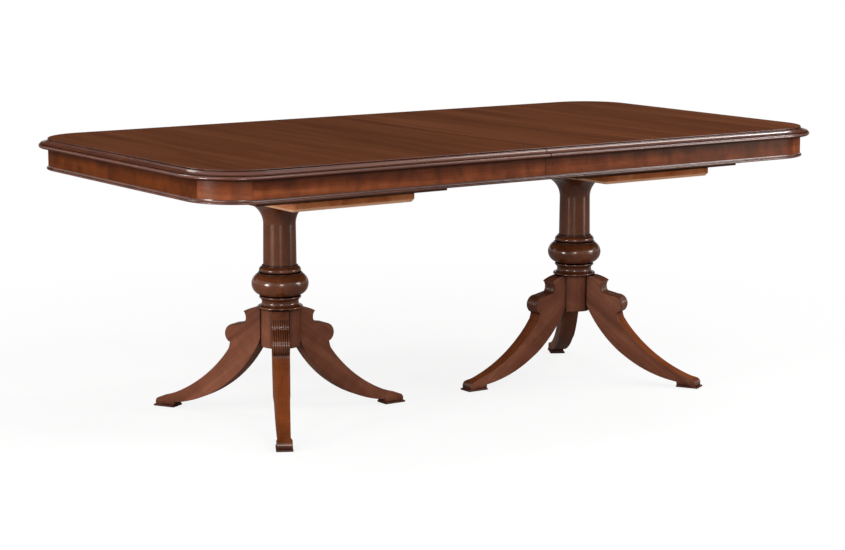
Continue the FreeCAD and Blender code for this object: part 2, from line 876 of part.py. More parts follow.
def leg_outline():
    """Side view of a leg: seat, lip, cove, knob, notch, sabre, toe, heel and long under curve."""
    knob_z = hub_top - s.knob_centre_drop
    knob_foot = knob_z - s.knob_foot_rise
    pad_top = s.glide_height + s.pad_thickness
    heel_top = pad_top + s.heel_height
    return [
        (s.hub_flat, hub_top),
        (s.leg_seat, hub_top, Arc(x=s.lip_crown_centre, clockwise=True)),
        (s.lip_radius, hub_top - s.lip_drop),
        (s.cove_lip, hub_top - s.lip_drop - s.lip_thickness, Arc(x=s.leg_cove_centre)),
        (s.cove_foot_radius, hub_top - s.cove_foot_drop),
        (s.knob_centre, knob_z + s.knob_radius, Arc(x=s.knob_centre, clockwise=True)),
        (s.knob_centre + root(s.knob_radius * s.knob_radius - s.knob_foot_rise * s.knob_foot_rise), knob_foot),
        (s.notch_radius, hub_top - s.notch_drop),
        (s.sabre_start_radius, hub_top - s.sabre_start_drop, Arc(x=s.sabre_centre)),
        (s.ankle_radius, pad_top + s.toe_height, Arc(x=s.toe_centre, clockwise=True)),
        (s.toe_radius, pad_top + s.toe_rise),
        (s.toe_radius, pad_top),
        (s.heel_radius, pad_top),
        (s.heel_radius, heel_top, Arc(x=s.under_centre, clockwise=True)),
        (s.hub_flat, s.hub_bottom + s.under_rise),
    ]


def make_leg(label, x, angle):
    leg = new_body(label)
    side_view = new_sketch(leg, "XZ_Plane")
    draw(side_view, leg_outline())
    extrude(leg, side_view, s.leg_width, symmetric=True)

    taper = new_sketch(leg, "XY_Plane")
    waste = s.leg_width / 2 + CUT_MARGIN
    far = s.toe_radius + CUT_MARGIN
    for edge in (-1, 1):
        draw(taper, [
            (s.sabre_start_radius, edge * waste),
            (s.sabre_start_radius, edge * s.leg_width / 2),
            (s.sabre_width_radius, edge * s.sabre_width / 2),
            (s.waist_radius, edge * s.ankle_width / 2),
            (s.flare_radius, edge * s.foot_width / 2),
            (far, edge * s.foot_width / 2),
            (far, edge * waste),
        ])
    extrude(leg, taper, hub_top, cut=True, reverse=True)

    pad = new_sketch(leg, "XY_Plane", s.glide_height)
    draw(pad, rectangle(s.heel_radius, s.pad_toe, -s.pad_width / 2, s.pad_width / 2))
    extrude(leg, pad, s.pad_thickness)

    sockets = new_sketch(leg, "YZ_Plane", s.hub_flat)
    draw_dowels(sockets, s.dowel_radius + s.dowel_clearance)
    extrude(leg, sockets, s.dowel_length / 2 + s.dowel_end_gap, cut=True, reverse=True)

    carve_reeds(leg)
    place(leg, x, angle)


def carve_reeds(leg):
    """Flutes cut from the lip over cove, ledge and knob leave a row of reeds between them."""
    lip_foot = hub_top - s.lip_drop - s.lip_thickness
    cove_foot = hub_top - s.cove_foot_drop
    knob_z = hub_top - s.knob_centre_drop
    knob_foot = knob_z - s.knob_foot_rise
    floor = s.knob_radius - s.reed_depth
    waste_r = s.knob_centre + s.knob_radius + CUT_MARGIN
    outline = [
        (s.cove_lip - s.reed_depth, lip_foot, Arc(x=s.leg_cove_centre)),
        (s.cove_foot_radius - s.reed_depth, cove_foot - s.reed_depth),
        (s.knob_centre, knob_z + floor, Arc(x=s.knob_centre, clockwise=True)),
        (s.knob_centre + root(floor * floor - s.knob_foot_rise * s.knob_foot_rise), knob_foot),
        (waste_r, knob_foot),
        (waste_r, lip_foot),
    ]
    pitch = s.leg_width / REEDS
    flutes = REEDS - 1
    first = pitch * (flutes - 1) / 2
    flute_side = new_sketch(leg, "XZ_Plane", first)
    draw(flute_side, outline)
    flute = extrude(leg, flute_side, s.flute_width, cut=True, symmetric=True)
    row(leg, [flute], "Y_Axis", pitch, flutes)


def make_legs(side, sign):
    x = sign * s.pedestal_offset
    inward = 0 if sign < 0 else 180
    step = 360 / LEGS
    make_leg(f"{side}_inner_leg", x, inward)
    make_leg(f"{side}_front_leg", x, inward + step * sign)
    make_leg(f"{side}_back_leg", x, inward - step * sign)

    dowels = new_body(f"{side}_leg_dowels")
    ends = new_sketch(dowels, "YZ_Plane", s.hub_flat)
    draw_dowels(ends, s.dowel_radius)
    pair = extrude(dowels, ends, s.dowel_length, symmetric=True)
    polar(dowels, [pair])
    place(dowels, x, inward)

    glides = new_body(f"{side}_glides")
    disc = new_sketch(glides, "XY_Plane")
    draw_circle(disc, (s.heel_radius + s.pad_toe) / 2, 0, s.glide_radius)
    glide = extrude(glides, disc, s.glide_height)
    polar(glides, [glide])
    place(glides, x, inward)


# Extension slides

def rail_screw_x(sign):
    return sign * s.rail_screw_start


def rail_screw_y(sign):
    """Distance of a half's rail screws from the middle line: left rails run inside, right rails outside."""
    return inner_rail_face + s.rail_screw_edge if sign < 0 else outer_rail_face - s.rail_screw_edge


def draw_rail_screws(sketch, sign, radius):
    for front in (-1, 1):
        draw_circle(sketch, rail_screw_x(sign), front * rail_screw_y(sign), radius)


def tongue(root_y, tip_y, level, grow):
    """Four corners of a dovetail tongue, or of its groove when grown by the clearance."""
    return [
        (root_y, level - s.tongue_root / 2 - grow),
        (tip_y, level - s.tongue_tip / 2 - grow),
        (tip_y, level + s.tongue_tip / 2 + grow),
        (root_y, level + s.tongue_root / 2 + grow),
    ]


def make_slides(place_name, front):
    level = top_under - s.rail_height / 2
    half = s.rail_width / 2
    centre = s.slide_centre
    clearance = s.slide_clearance

    middle = new_body(f"{place_name}_middle_slide")
    section = new_sketch(middle, "YZ_Plane")
    low = rail_bottom
    high = top_under - s.slide_relief
    outer = tongue(centre + half, centre + half + s.tongue_depth, level, 0)
    inner = tongue(centre - half, centre - half - s.tongue_depth, level, 0)
    corners = [(centre - half, low), (centre + half, low)] + outer
    corners += [(centre + half, high), (centre - half, high)] + inner[::-1]
    draw(section, [(front * y, z) for y, z in corners])
    extrude(middle, section, s.rail_length, symmetric=True)

    for side, sign, reach in (("left", -1, -1), ("right", 1, 1)):
        rail = new_body(f"{place_name}_{side}_slide")
        near = centre + reach * (half + clearance)
        far = near + reach * s.rail_width
        groove = tongue(near, near + reach * (s.tongue_depth + clearance), level, clearance)
        section = new_sketch(rail, "YZ_Plane", -sign * s.rail_overhang)
        corners = [(far, low), (near, low)] + groove + [(near, top_under), (far, top_under)]
        draw(section, [(front * y, z) for y, z in corners])
        extrude(rail, section, s.rail_length, reverse=sign < 0)
        relief = new_sketch(rail, "YZ_Plane", sign * seam_half)
        y_low, y_high = sorted_pair(front * near, front * far)
        draw(relief, rectangle(y_low, y_high, top_under - s.slide_relief, top_under + CUT_MARGIN))
        extrude(rail, relief, s.rail_overhang + seam_half, cut=True, reverse=sign < 0)
        holes = new_sketch(rail, "XY_Plane", rail_bottom)
        bore = s.rail_screw_radius + s.screw_clearance
        draw_circle(holes, rail_screw_x(sign), front * rail_screw_y(sign), bore)
        hole = extrude(rail, holes, s.rail_height, cut=True, reverse=True)
        row(rail, [hole], "X_Axis", s.rail_screw_pitch, RAIL_SCREW_COUNT, reverse=sign < 0)


def make_rail_screws(side, sign):
    screws = new_body(f"{side}_slide_screws")
    heads = new_sketch(screws, "XY_Plane", rail_bottom - s.rail_screw_head_height)
    draw_rail_screws(heads, sign, s.rail_screw_head_radius)
    head = extrude(screws, heads, s.rail_screw_head_height)
    shanks = new_sketch(screws, "XY_Plane", rail_bottom)
    draw_rail_screws(shanks, sign, s.rail_screw_radius)
    shank = extrude(screws, shanks, s.rail_height + s.rail_screw_bite)
    row(screws, [head, shank], "X_Axis", s.rail_screw_pitch, RAIL_SCREW_COUNT, reverse=sign < 0)


# Seam pins and swing locks

def make_seam_pins():
    pins = new_body("seam_pins")
    section = new_sketch(pins, "YZ_Plane", -s.pin_reach + seam_half)
    draw_circle(section, -pin_y, s.table_height - s.top_thickness / 2, s.pin_radius)
    pin = extrude(pins, section, s.pin_reach + s.pin_seat)
    row(pins, [pin], "Y_Axis", pin_pitch, SEAM_PIN_COUNT)


def make_locks():
    plates = new_body("lock_plates")
    plate_foot = top_under - s.lock_plate_thickness
    plan = new_sketch(plates, "XY_Plane", plate_foot)
    draw(plan, rectangle(-s.lock_plate_edge - s.lock_plate_length, -s.lock_plate_edge,
                         -lock_y - s.lock_plate_width / 2, -lock_y + s.lock_plate_width / 2))
    plate = extrude(plates, plan, s.lock_plate_thickness)
    stem = new_sketch(plates, "XY_Plane", lever_bottom - s.lock_clearance)
    draw_circle(stem, -s.pivot_setback, -lock_y, s.pivot_radius)
    pivot = extrude(plates, stem, s.lever_thickness + 2 * s.lock_clearance)
    cap = new_sketch(plates, "XY_Plane", lever_bottom - s.lock_clearance - s.pivot_head_height)
    draw_circle(cap, -s.pivot_setback, -lock_y, s.pivot_head_radius)
    head = extrude(plates, cap, s.pivot_head_height)
    mirror(plates, [plate, pivot, head])

    keepers = new_body("lock_keepers")
    plan = new_sketch(keepers, "XY_Plane", plate_foot)
    draw(plan, rectangle(s.keeper_edge, s.keeper_edge + s.keeper_length,
                         -lock_y - s.lock_plate_width / 2, -lock_y + s.lock_plate_width / 2))
    plate = extrude(keepers, plan, s.lock_plate_thickness)
    stem = new_sketch(keepers, "XY_Plane", lever_bottom)
    draw_circle(stem, s.post_setback, -lock_y, s.post_radius)
    post = extrude(keepers, stem, plate_foot - lever_bottom)
    mirror(keepers, [plate, post])

    make_lever("front_lock_lever", -1)
    make_lever("back_lock_lever", 1)


def make_lever(label, front):
    """A lever that lies along the seam when open; its curved slot takes the keeper's post when it turns."""
    x = -s.pivot_setback
    y = front * lock_y
    inward = -front
    half = s.lever_width / 2
    tip = slot_radius + s.lever_tip
    gap = s.post_radius + s.post_clearance
    lever = new_body(label)
    plan = new_sketch(lever, "XY_Plane", lever_bottom)
    draw(plan, [
        (x + half, y),
        (x + half, y + inward * tip),
        (x - half, y + inward * tip),
        (x - half, y, Arc(y=y, clockwise=inward < 0)),
    ])
    extrude(lever, plan, s.lever_thickness)

    mouth = half + CUT_MARGIN
    outer = slot_radius + gap
    inner = slot_radius - gap
    slot = new_sketch(lever, "XY_Plane", lever_bottom)
    draw(slot, [
        (x, y + inward * inner, Arc(x=x, clockwise=inward > 0)),
        (x, y + inward * outer, Arc(x=x, clockwise=inward > 0)),
        (x + mouth, y + inward * root(outer * outer - mouth * mouth)),
        (x + mouth, y + inward * root(inner * inner - mouth * mouth), Arc(x=x, clockwise=inward < 0)),
    ])
    extrude(lever, slot, s.lever_thickness, cut=True, reverse=True)
    eye = new_sketch(lever, "XY_Plane", lever_bottom)
    draw_circle(eye, x, y, s.pivot_radius + s.pivot_clearance)
    extrude(lever, eye, s.lever_thickness, cut=True, reverse=True)
    tab = new_sketch(lever, "XY_Plane", lever_bottom)
    y_low, y_high = sorted_pair(y + inward * tip, y + inward * (tip - s.lever_tab_thickness))
    draw(tab, rectangle(x - half, x + half, y_low, y_high))
    lever.Tip = extrude(lever, tab, s.lever_tab, reverse=True)


for half_name, half_sign in (("left", -1), ("right", 1)):
    make_top(half_name, half_sign)
    make_apron(half_name, half_sign)
    make_carrier(half_name, half_sign)
    make_column(half_name, half_sign)
    make_legs(half_name, half_sign)
    make_rail_screws(half_name, half_sign)
for row_name, row_front in (("front", -1), ("back", 1)):
    make_slides(row_name, row_front)
make_seam_pins()
make_locks()
doc.recompute()


# Check every object, then write one file per piece

for item in doc.Objects:
    if "Invalid" in item.State or "Error" in item.State:
        raise RuntimeError(f"{item.Label} failed: {item.State} {item.getStatusString()}")
bodies = [item for item in doc.Objects if item.TypeId == "PartDesign::Body"]
for body in bodies:
    if body.Shape.isNull() or not body.Shape.isValid():
        raise RuntimeError(f"{body.Label} has no valid shape")
os.makedirs("parts", exist_ok=True)
for body in bodies:
    body.Shape.exportStep(f"parts/{body.Label}.step")
    box = body.Shape.BoundBox
    print(f"{body.Label}: {len(body.Shape.Solids)} solids, {body.Shape.Volume / 1000:.1f} cm3,"
          f" x {box.XMin:.1f} to {box.XMax:.1f}, y {box.YMin:.1f} to {box.YMax:.1f},"
          f" z {box.ZMin:.1f} to {box.ZMax:.1f}")
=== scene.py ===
"""Double pedestal dining table: carved legs, eased edges, mahogany finish, floor, light and camera."""
import json
import math
from dataclasses import dataclass

import bmesh
import bpy
from mathutils import Matrix, Vector

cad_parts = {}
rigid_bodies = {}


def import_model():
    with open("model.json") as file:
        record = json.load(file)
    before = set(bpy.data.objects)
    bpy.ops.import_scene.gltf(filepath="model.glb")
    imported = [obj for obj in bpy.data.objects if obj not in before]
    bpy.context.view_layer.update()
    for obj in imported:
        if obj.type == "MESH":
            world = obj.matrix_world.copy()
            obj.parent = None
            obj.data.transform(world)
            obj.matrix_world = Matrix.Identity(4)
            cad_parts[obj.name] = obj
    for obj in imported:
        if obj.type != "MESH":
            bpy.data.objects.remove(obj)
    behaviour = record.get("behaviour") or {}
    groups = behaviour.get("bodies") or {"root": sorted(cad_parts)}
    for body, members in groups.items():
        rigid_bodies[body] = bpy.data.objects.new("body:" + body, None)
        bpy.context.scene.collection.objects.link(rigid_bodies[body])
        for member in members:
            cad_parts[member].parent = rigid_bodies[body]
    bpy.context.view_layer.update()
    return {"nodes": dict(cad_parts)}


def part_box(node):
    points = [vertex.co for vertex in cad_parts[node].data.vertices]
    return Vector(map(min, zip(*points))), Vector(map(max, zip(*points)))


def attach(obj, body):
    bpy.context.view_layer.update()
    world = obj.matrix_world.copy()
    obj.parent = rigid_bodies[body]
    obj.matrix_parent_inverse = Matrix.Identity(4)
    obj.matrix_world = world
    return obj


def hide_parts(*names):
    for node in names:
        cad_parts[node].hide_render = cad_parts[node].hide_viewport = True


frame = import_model()
nodes = frame["nodes"]

MM = 0.001
HALVES = ("left", "right")
SIDES = ("front", "back")


# Node trees

# A colour mix node's sockets by number, because they share their names with its other sockets
MIX_FIRST, MIX_SECOND, MIX_RESULT = 6, 7, 2


class NodeTree:
    """Nodes of a material or a world, added one at a time; inputs take values or other nodes' outputs."""

    def __init__(self, owner):
        owner.use_nodes = True
        self.owner = owner
        self.tree = owner.node_tree

    def clear(self):
        """Removes the nodes that a new tree starts with."""
        self.tree.nodes.clear()

    def add(self, kind, settings=None, **inputs):
        """A node with its inputs set by name."""
        node = self.tree.nodes.new(kind)
        for name, value in (settings or {}).items():
            setattr(node, name, value)
        for name, value in inputs.items():
            self.put(node, name.replace("_", " "), value)
        return node

    def feed(self, kind, settings, *values):
        """A node with its inputs set in their order."""
        node = self.add(kind, settings)
        for index, value in enumerate(values):
            self.put(node, index, value)
        return node

    def put(self, node, socket, value):
        target = node.inputs[socket]
        if isinstance(value, bpy.types.NodeSocket):
            self.tree.links.new(value, target)
        else:
            target.default_value = value

    def math(self, operation, *values):
        return self.feed("ShaderNodeMath", {"operation": operation}, *values).outputs[0]

    def vector_math(self, operation, *values):
        return self.feed("ShaderNodeVectorMath", {"operation": operation}, *values)

    def attribute(self, name):
        return self.add("ShaderNodeAttribute", {"attribute_name": name})

    def stretched(self, vector, scale):
        return self.add("ShaderNodeMapping", Vector=vector, Scale=scale).outputs[0]

    def noise(self, vector, detail, distortion=0.0, scale=1.0):
        node = self.add("ShaderNodeTexNoise", Vector=vector, Scale=scale, Detail=detail,
                        Distortion=distortion)
        return node.outputs["Fac"]

    def ramp(self, factor, stops):
        node = self.add("ShaderNodeValToRGB", Fac=factor)
        elements = node.color_ramp.elements
        for spare in range(len(stops) - len(elements)):
            elements.new(0.5)
        for element, (position, colour) in zip(elements, stops):
            element.position = position
            element.color = colour
        return node.outputs["Color"]

    def grey_ramp(self, factor, stops):
        return self.ramp(factor, [(position, grey(value)) for position, value in stops])

    def mix(self, blend, factor, first, second):
        node = self.add("ShaderNodeMix", {"data_type": "RGBA", "blend_type": blend})
        self.put(node, "Factor", factor)
        self.put(node, MIX_FIRST, first)
        self.put(node, MIX_SECOND, second)
        return node.outputs[MIX_RESULT]

    def multiply(self, factor, colour, shade):
        return self.mix("MULTIPLY", factor, colour, shade)

    def finish(self, **inputs):
        """Sets the surface shader's inputs and returns the material."""
        surface = self.tree.nodes["Principled BSDF"]
        for name, value in inputs.items():
            self.put(surface, name.replace("_", " "), value)
        return self.owner

    def finish_mixed(self, factor, first, second, output):
        """Ends the tree in a mix of two shader nodes instead."""
        shaders = first.outputs[0], second.outputs[0]
        mixed = self.feed("ShaderNodeMixShader", None, factor, *shaders)
        self.feed(output, None, mixed.outputs[0])


def new_material(name):
    return NodeTree(bpy.data.materials.new(name))


def srgb(red, green, blue):
    """A colour as it looks on screen, 0 to 255, as the linear one that a shader takes."""
    linear = []
    for channel in (red, green, blue):
        value = channel / 255
        linear.append(value / 12.92 if value <= 0.04045 else ((value + 0.055) / 1.055) ** 2.4)
    return (*linear, 1.0)


def grey(value):
    return (value, value, value, 1.0)


# Woods: the grain attribute says how far a point lies along, across and into the grain

@dataclass
class Wood:
    """One timber: the colours of its figure as seen on screen, and how its finish shines."""
    dark: tuple
    middle: tuple
    light: tuple
    roughness: float
    coat: float = 0.0
    coat_roughness: float = 0.2
    leaf: float = 0.0
    pores: float = 0.5
    streaks: float = 0.5
    mottle: float = 0.0
    glaze_and_shade: float = 0.0
    recess: float = 0.0
    underside_light: tuple = ()


# Each noise: its scale along, across and into the grain, its detail, and its distortion
FIGURE_NOISE = ((1.1, 15, 15), 4.0, 0.8)
FIBRE_NOISE = ((5, 240, 240), 3.0, 0.0)
PORE_NOISE = ((28, 1000, 1000), 1.0, 0.0)
MOTTLE_NOISE = ((22, 14, 14), 3.0, 0.4)

# Where in its noise the figure is dark, middle and light
FIGURE_STOPS = (0.3, 0.5, 0.72)

# Each shade: two places in the noise or measure that drives it, and how light it is there
STREAK_SHADE = [(0.32, 0.72), (0.68, 1.2)]
UNDERSIDE_SHADE = [(0.3, 0.0), (0.6, 1.0)]
MOTTLE_SHADE = [(0.36, 0.62), (0.64, 1.38)]
PORE_SHADE = [(0.34, 0.45), (0.46, 1.0)]
LEAF_SHADE = [(0.0, 0.93), (1.0, 1.06)]

# How deep a recess is where its stain and painted shade begin, and where they are full
RECESS_START = 0.1
RECESS_FULL = 0.8

# Each level of glaze and painted shade: how far it looks for other surfaces, its darkest shade, and how
# open a nook is there; ambient occlusion darkens the nooks, painting shade where it falls, such as under
# the top's overhang
GLAZE_AND_SHADE = [(28 * MM, 0.15, 0.5), (5 * MM, 0.06, 0.4)]
NOOK_OPEN = 0.95
NOOK_SAMPLES = 8

PORE_DEPTH = 0.6
BUMP_STRENGTH = 0.12
BUMP_DEPTH = 0.25 * MM
FIBRE_ROUGHNESS = 0.16


def leaf_shift(tree, grain, leaf):
    """Veneer leaves side by side: each starts elsewhere in the figure, a little lighter or darker."""
    split = tree.add("ShaderNodeSeparateXYZ", Vector=grain)
    number = tree.math("FLOOR", tree.math("DIVIDE", split.outputs["Y"], leaf))
    draw = tree.add("ShaderNodeTexWhiteNoise", {"noise_dimensions": "1D"}, W=number)
    moved = tree.vector_math("ADD", grain, draw.outputs["Color"])
    return moved.outputs[0], draw.outputs["Value"]


def grain_noise(tree, grain, kind):
    scale, detail, distortion = kind
    return tree.noise(tree.stretched(grain, scale), detail, distortion)


def figure_colour(tree, wood, grain, fibre):
    figure = grain_noise(tree, grain, FIGURE_NOISE)
    colours = srgb(*wood.dark), srgb(*wood.middle), srgb(*wood.light)
    colour = tree.ramp(figure, list(zip(FIGURE_STOPS, colours)))
    return tree.multiply(wood.streaks, colour, tree.grey_ramp(fibre, STREAK_SHADE))


def paint_underside_light(tree, wood, colour):
    """Painted light: faces that look down are mixed towards a paler colour, for the light that falls on
    them from below.
    """
    normal = tree.add("ShaderNodeNewGeometry").outputs["Normal"]
    facing = tree.add("ShaderNodeSeparateXYZ", Vector=normal)
    down = tree.math("MULTIPLY", facing.outputs["Z"], -1.0)
    return tree.mix("MIX", tree.grey_ramp(down, UNDERSIDE_SHADE), colour, srgb(*wood.underside_light))


def glaze_and_shade_nooks(tree, wood, colour, coat):
    """Dark glaze and painted shade in the nooks, found by ambient occlusion, where the coat's reflection
    is dimmed too, as painted shade in the reflection.
    """
    for reach, darkest, closed in GLAZE_AND_SHADE:
        look = tree.add("ShaderNodeAmbientOcclusion", {"samples": NOOK_SAMPLES}, Distance=reach)
        dirt_and_shade = tree.grey_ramp(look.outputs["AO"], [(closed, darkest), (NOOK_OPEN, 1.0)])
        colour = tree.multiply(wood.glaze_and_shade, colour, dirt_and_shade)
    return colour, tree.math("MULTIPLY", dirt_and_shade, coat)


def stain_and_shade_recess(tree, wood, colour, coat):
    """Dark stain and painted shade where the recess attribute says so, with the coat's reflection dimmed
    there as well.
    """
    depth = tree.attribute("recess").outputs["Fac"]
    stain_and_shade = tree.grey_ramp(depth, [(RECESS_START, 1.0), (RECESS_FULL, wood.recess)])
    shine = tree.math("MULTIPLY", stain_and_shade, stain_and_shade)
    return tree.multiply(1.0, colour, stain_and_shade), tree.math("MULTIPLY", shine, coat)


def wood_material(name, wood):
    tree = new_material(name)
    grain = tree.attribute("grain").outputs["Vector"]
    if wood.leaf:
        grain, tone = leaf_shift(tree, grain, wood.leaf)
    fibre = grain_noise(tree, grain, FIBRE_NOISE)
    specks = tree.grey_ramp(grain_noise(tree, grain, PORE_NOISE), PORE_SHADE)

    colour = figure_colour(tree, wood, grain, fibre)
    coat = wood.coat
    # Painted light on faces that look down
    if wood.underside_light:
        colour = paint_underside_light(tree, wood, colour)
    if wood.mottle:
        cloud = tree.grey_ramp(grain_noise(tree, grain, MOTTLE_NOISE), MOTTLE_SHADE)
        colour = tree.multiply(wood.mottle, colour, cloud)
    # Painted shade and glaze in the nooks, by ambient occlusion; the coat's reflection is dimmed there too
    if wood.glaze_and_shade:
        colour, coat = glaze_and_shade_nooks(tree, wood, colour, coat)
    # Painted shade and stain in recesses: between the reeds, in the moulding's quirks and under its nose
    if wood.recess:
        colour, coat = stain_and_shade_recess(tree, wood, colour, coat)
    colour = tree.multiply(wood.pores, colour, specks)
    if wood.leaf:
        colour = tree.multiply(1.0, colour, tree.grey_ramp(tone, LEAF_SHADE))

    height = tree.math("ADD", fibre, tree.math("MULTIPLY", specks, PORE_DEPTH))
    bump = tree.add("ShaderNodeBump", Height=height, Strength=BUMP_STRENGTH, Distance=BUMP_DEPTH)
    uneven = tree.math("MULTIPLY", fibre, FIBRE_ROUGHNESS)
    return tree.finish(
        Base_Color=colour,
        Roughness=tree.math("ADD", uneven, wood.roughness - FIBRE_ROUGHNESS / 2),
        Normal=bump.outputs[0],
        Specular_IOR_Level=0.0,
        Coat_Weight=coat,
        Coat_Roughness=wood.coat_roughness,
    )


WOODS = {
    "top_wood": Wood((81, 44, 27), (91, 52, 32), (100, 59, 38), 0.36, 0.08, coat_roughness=0.36,
                     leaf=0.168, pores=0.25, streaks=0.3),
    # Moulded edge: darker than the top wood, partly a darker glaze on the solid edge, partly painted shade
    # because the moulding faces the lamps
    "edge_wood": Wood((66, 32, 19), (84, 43, 27), (100, 54, 35), 0.4, 0.95, coat_roughness=0.19,
                      pores=0.2, streaks=0.3, glaze_and_shade=0.9, recess=0.32),
    "apron_wood": Wood((78, 36, 17), (101, 50, 26), (127, 68, 39), 0.4, 0.28, coat_roughness=0.32,
                       pores=0.3, streaks=0.4, mottle=0.8, glaze_and_shade=0.9),
    # End rails: a darker copy of the apron wood, painted shade against the strong lamp from the left
    "end_wood": Wood((62, 26, 7), (82, 38, 12), (103, 52, 20), 0.4, 0.22, coat_roughness=0.32,
                     pores=0.3, streaks=0.4, mottle=0.8, glaze_and_shade=0.9),
    # Corner blocks: lighter than the apron wood, partly their own tone, partly painted sheen that the
    # rounded corner catches from the lamps
    "corner_wood": Wood((92, 43, 23), (116, 60, 35), (138, 78, 49), 0.4, 0.2, coat_roughness=0.34,
                        pores=0.35, streaks=0.5, mottle=0.6, glaze_and_shade=0.9),
    "pedestal_wood": Wood((84, 48, 33), (107, 63, 46), (126, 79, 59), 0.4, 0.22, coat_roughness=0.25,
                          pores=0.3, streaks=0.4, mottle=0.3, glaze_and_shade=0.95),
    "sabre_wood": Wood((88, 44, 21), (113, 59, 30), (132, 71, 38), 0.4, 0.1, coat_roughness=0.25,
                       pores=0.3, streaks=0.4, mottle=0.3, glaze_and_shade=0.95),
    # Reed wood: darker than the leg, partly as painted shade over the reeded part; its recess gives
    # painted shade and stain between the reeds
    "reed_wood": Wood((74, 38, 22), (98, 54, 34), (118, 70, 46), 0.4, 0.9, coat_roughness=0.16,
                      pores=0.2, streaks=0.4, recess=0.05),
    "column_wood": Wood((72, 36, 17), (92, 48, 25), (110, 60, 34), 0.4, 0.8, coat_roughness=0.19,
                        pores=0.3, streaks=0.4, mottle=0.3, glaze_and_shade=0.95),
    "bearer_wood": Wood((74, 47, 34), (98, 66, 48), (118, 84, 62), 0.6),
    # The board's faces that look down are painted paler, as light from below
    "board_wood": Wood((156, 90, 54), (182, 112, 72), (198, 130, 90), 0.62, pores=0.3,
                       underside_light=(224, 172, 138)),
    "slide_wood": Wood((160, 122, 84), (186, 150, 110), (204, 172, 132), 0.55, pores=0.3),
    "dowel_wood": Wood((176, 140, 98), (196, 164, 122), (212, 184, 144), 0.6, pores=0.2),
}


# Steel and plastic

STEEL_CLOUD_SCALE = 90
STEEL_CLOUD_DETAIL = 4.0
STEEL_SCRATCH_SCALE = (900, 60, 900)
STEEL_SCRATCH_DETAIL = 2.0
STEEL_COLOURS = [(0.3, srgb(150, 148, 140)), (0.7, srgb(186, 186, 182))]
STEEL_ROUGHNESS = 0.25
SCRATCH_ROUGHNESS = 0.25
SCRATCH_STRENGTH = 0.1
PLASTIC_GRAIN_SCALE = 2200
PLASTIC_GRAIN_DETAIL = 2.0
PLASTIC_SCUFF_SCALE = 260
PLASTIC_SCUFF_DETAIL = 5.0
PLASTIC_COLOURS = [(0.35, srgb(58, 44, 36)), (0.7, srgb(88, 70, 58))]
PLASTIC_ROUGHNESS = 0.5
PLASTIC_STRENGTH = 0.15
FINE_DEPTH = 0.05 * MM


def steel_material():
    tree = new_material("zinc_steel")
    place = tree.add("ShaderNodeTexCoord").outputs["Object"]
    cloud = tree.noise(place, STEEL_CLOUD_DETAIL, scale=STEEL_CLOUD_SCALE)
    scratches = tree.noise(tree.stretched(place, STEEL_SCRATCH_SCALE), STEEL_SCRATCH_DETAIL)
    uneven = tree.math("MULTIPLY", scratches, SCRATCH_ROUGHNESS)
    bump = tree.add("ShaderNodeBump", Height=scratches, Strength=SCRATCH_STRENGTH, Distance=FINE_DEPTH)
    return tree.finish(
        Base_Color=tree.ramp(cloud, STEEL_COLOURS),
        Metallic=1.0,
        Roughness=tree.math("ADD", uneven, STEEL_ROUGHNESS),
        Normal=bump.outputs[0],
    )


def plastic_material():
    tree = new_material("glide_plastic")
    place = tree.add("ShaderNodeTexCoord").outputs["Object"]
    grain = tree.noise(place, PLASTIC_GRAIN_DETAIL, scale=PLASTIC_GRAIN_SCALE)
    scuffs = tree.noise(place, PLASTIC_SCUFF_DETAIL, scale=PLASTIC_SCUFF_SCALE)
    bump = tree.add("ShaderNodeBump", Height=grain, Strength=PLASTIC_STRENGTH, Distance=FINE_DEPTH)
    return tree.finish(
        Base_Color=tree.ramp(scuffs, PLASTIC_COLOURS),
        Roughness=PLASTIC_ROUGHNESS,
        Normal=bump.outputs[0],
    )


materials = {slot: wood_material(slot, wood) for slot, wood in WOODS.items()}
materials["steel"] = steel_material()
materials["glide_plastic"] = plastic_material()


# Grain: which way a piece's timber runs

PIECE_SHIFT = Vector((1.7, 0.9, 2.3))
piece_count = 0


def along_x(point):
    return point.x, point.y, point.z


def along_y(point):
    return point.y, point.x, point.z


def along_z(point):
    return point.z, point.x, point.y


def round_corner(centre):
    """Grain that follows a bent corner block round its upright axis."""
    def grain(point):
        offset = Vector((point.x - centre.x, point.y - centre.y))
        return math.atan2(offset.y, offset.x) * offset.length, offset.length, point.z
    return grain


def set_grain(mesh, direction):
    """Writes the grain attribute; each piece is cut from another place in the timber."""
    global piece_count
    piece_count += 1
    start = PIECE_SHIFT * piece_count
    values = []
    for vertex in mesh.vertices:
        values.extend(Vector(direction(vertex.co)) + start)
    layer = mesh.attributes.new("grain", "FLOAT_VECTOR", "POINT")
    layer.data.foreach_set("vector", values)


# Pieces

EASE_ANGLE = math.radians(30)
EASE_SEGMENTS = 2
SAME_POINT = 0.001 * MM
SAME_PLANE = math.radians(0.5)


def body_of(node):
    return nodes[node].parent.name.removeprefix("body:")


def add_piece(name, mesh, node, slot, matrix=None, finish=None):
    """A piece in place of one CAD node, riding on that node's body."""
    piece = bpy.data.objects.new(name, mesh)
    bpy.context.collection.objects.link(piece)
    if matrix:
        piece.matrix_world = matrix
    if mesh.materials:
        mesh.materials.clear()
    mesh.materials.append(materials[finish or slot])
    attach(piece, body_of(node))
    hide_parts(node)
    return piece


def weigh_normals(piece):
    """Keeps broad faces flat in the shading, and turns it only over the eased edges."""
    modifier = piece.modifiers.new("flat_faces", "WEIGHTED_NORMAL")
    modifier.keep_sharp = True


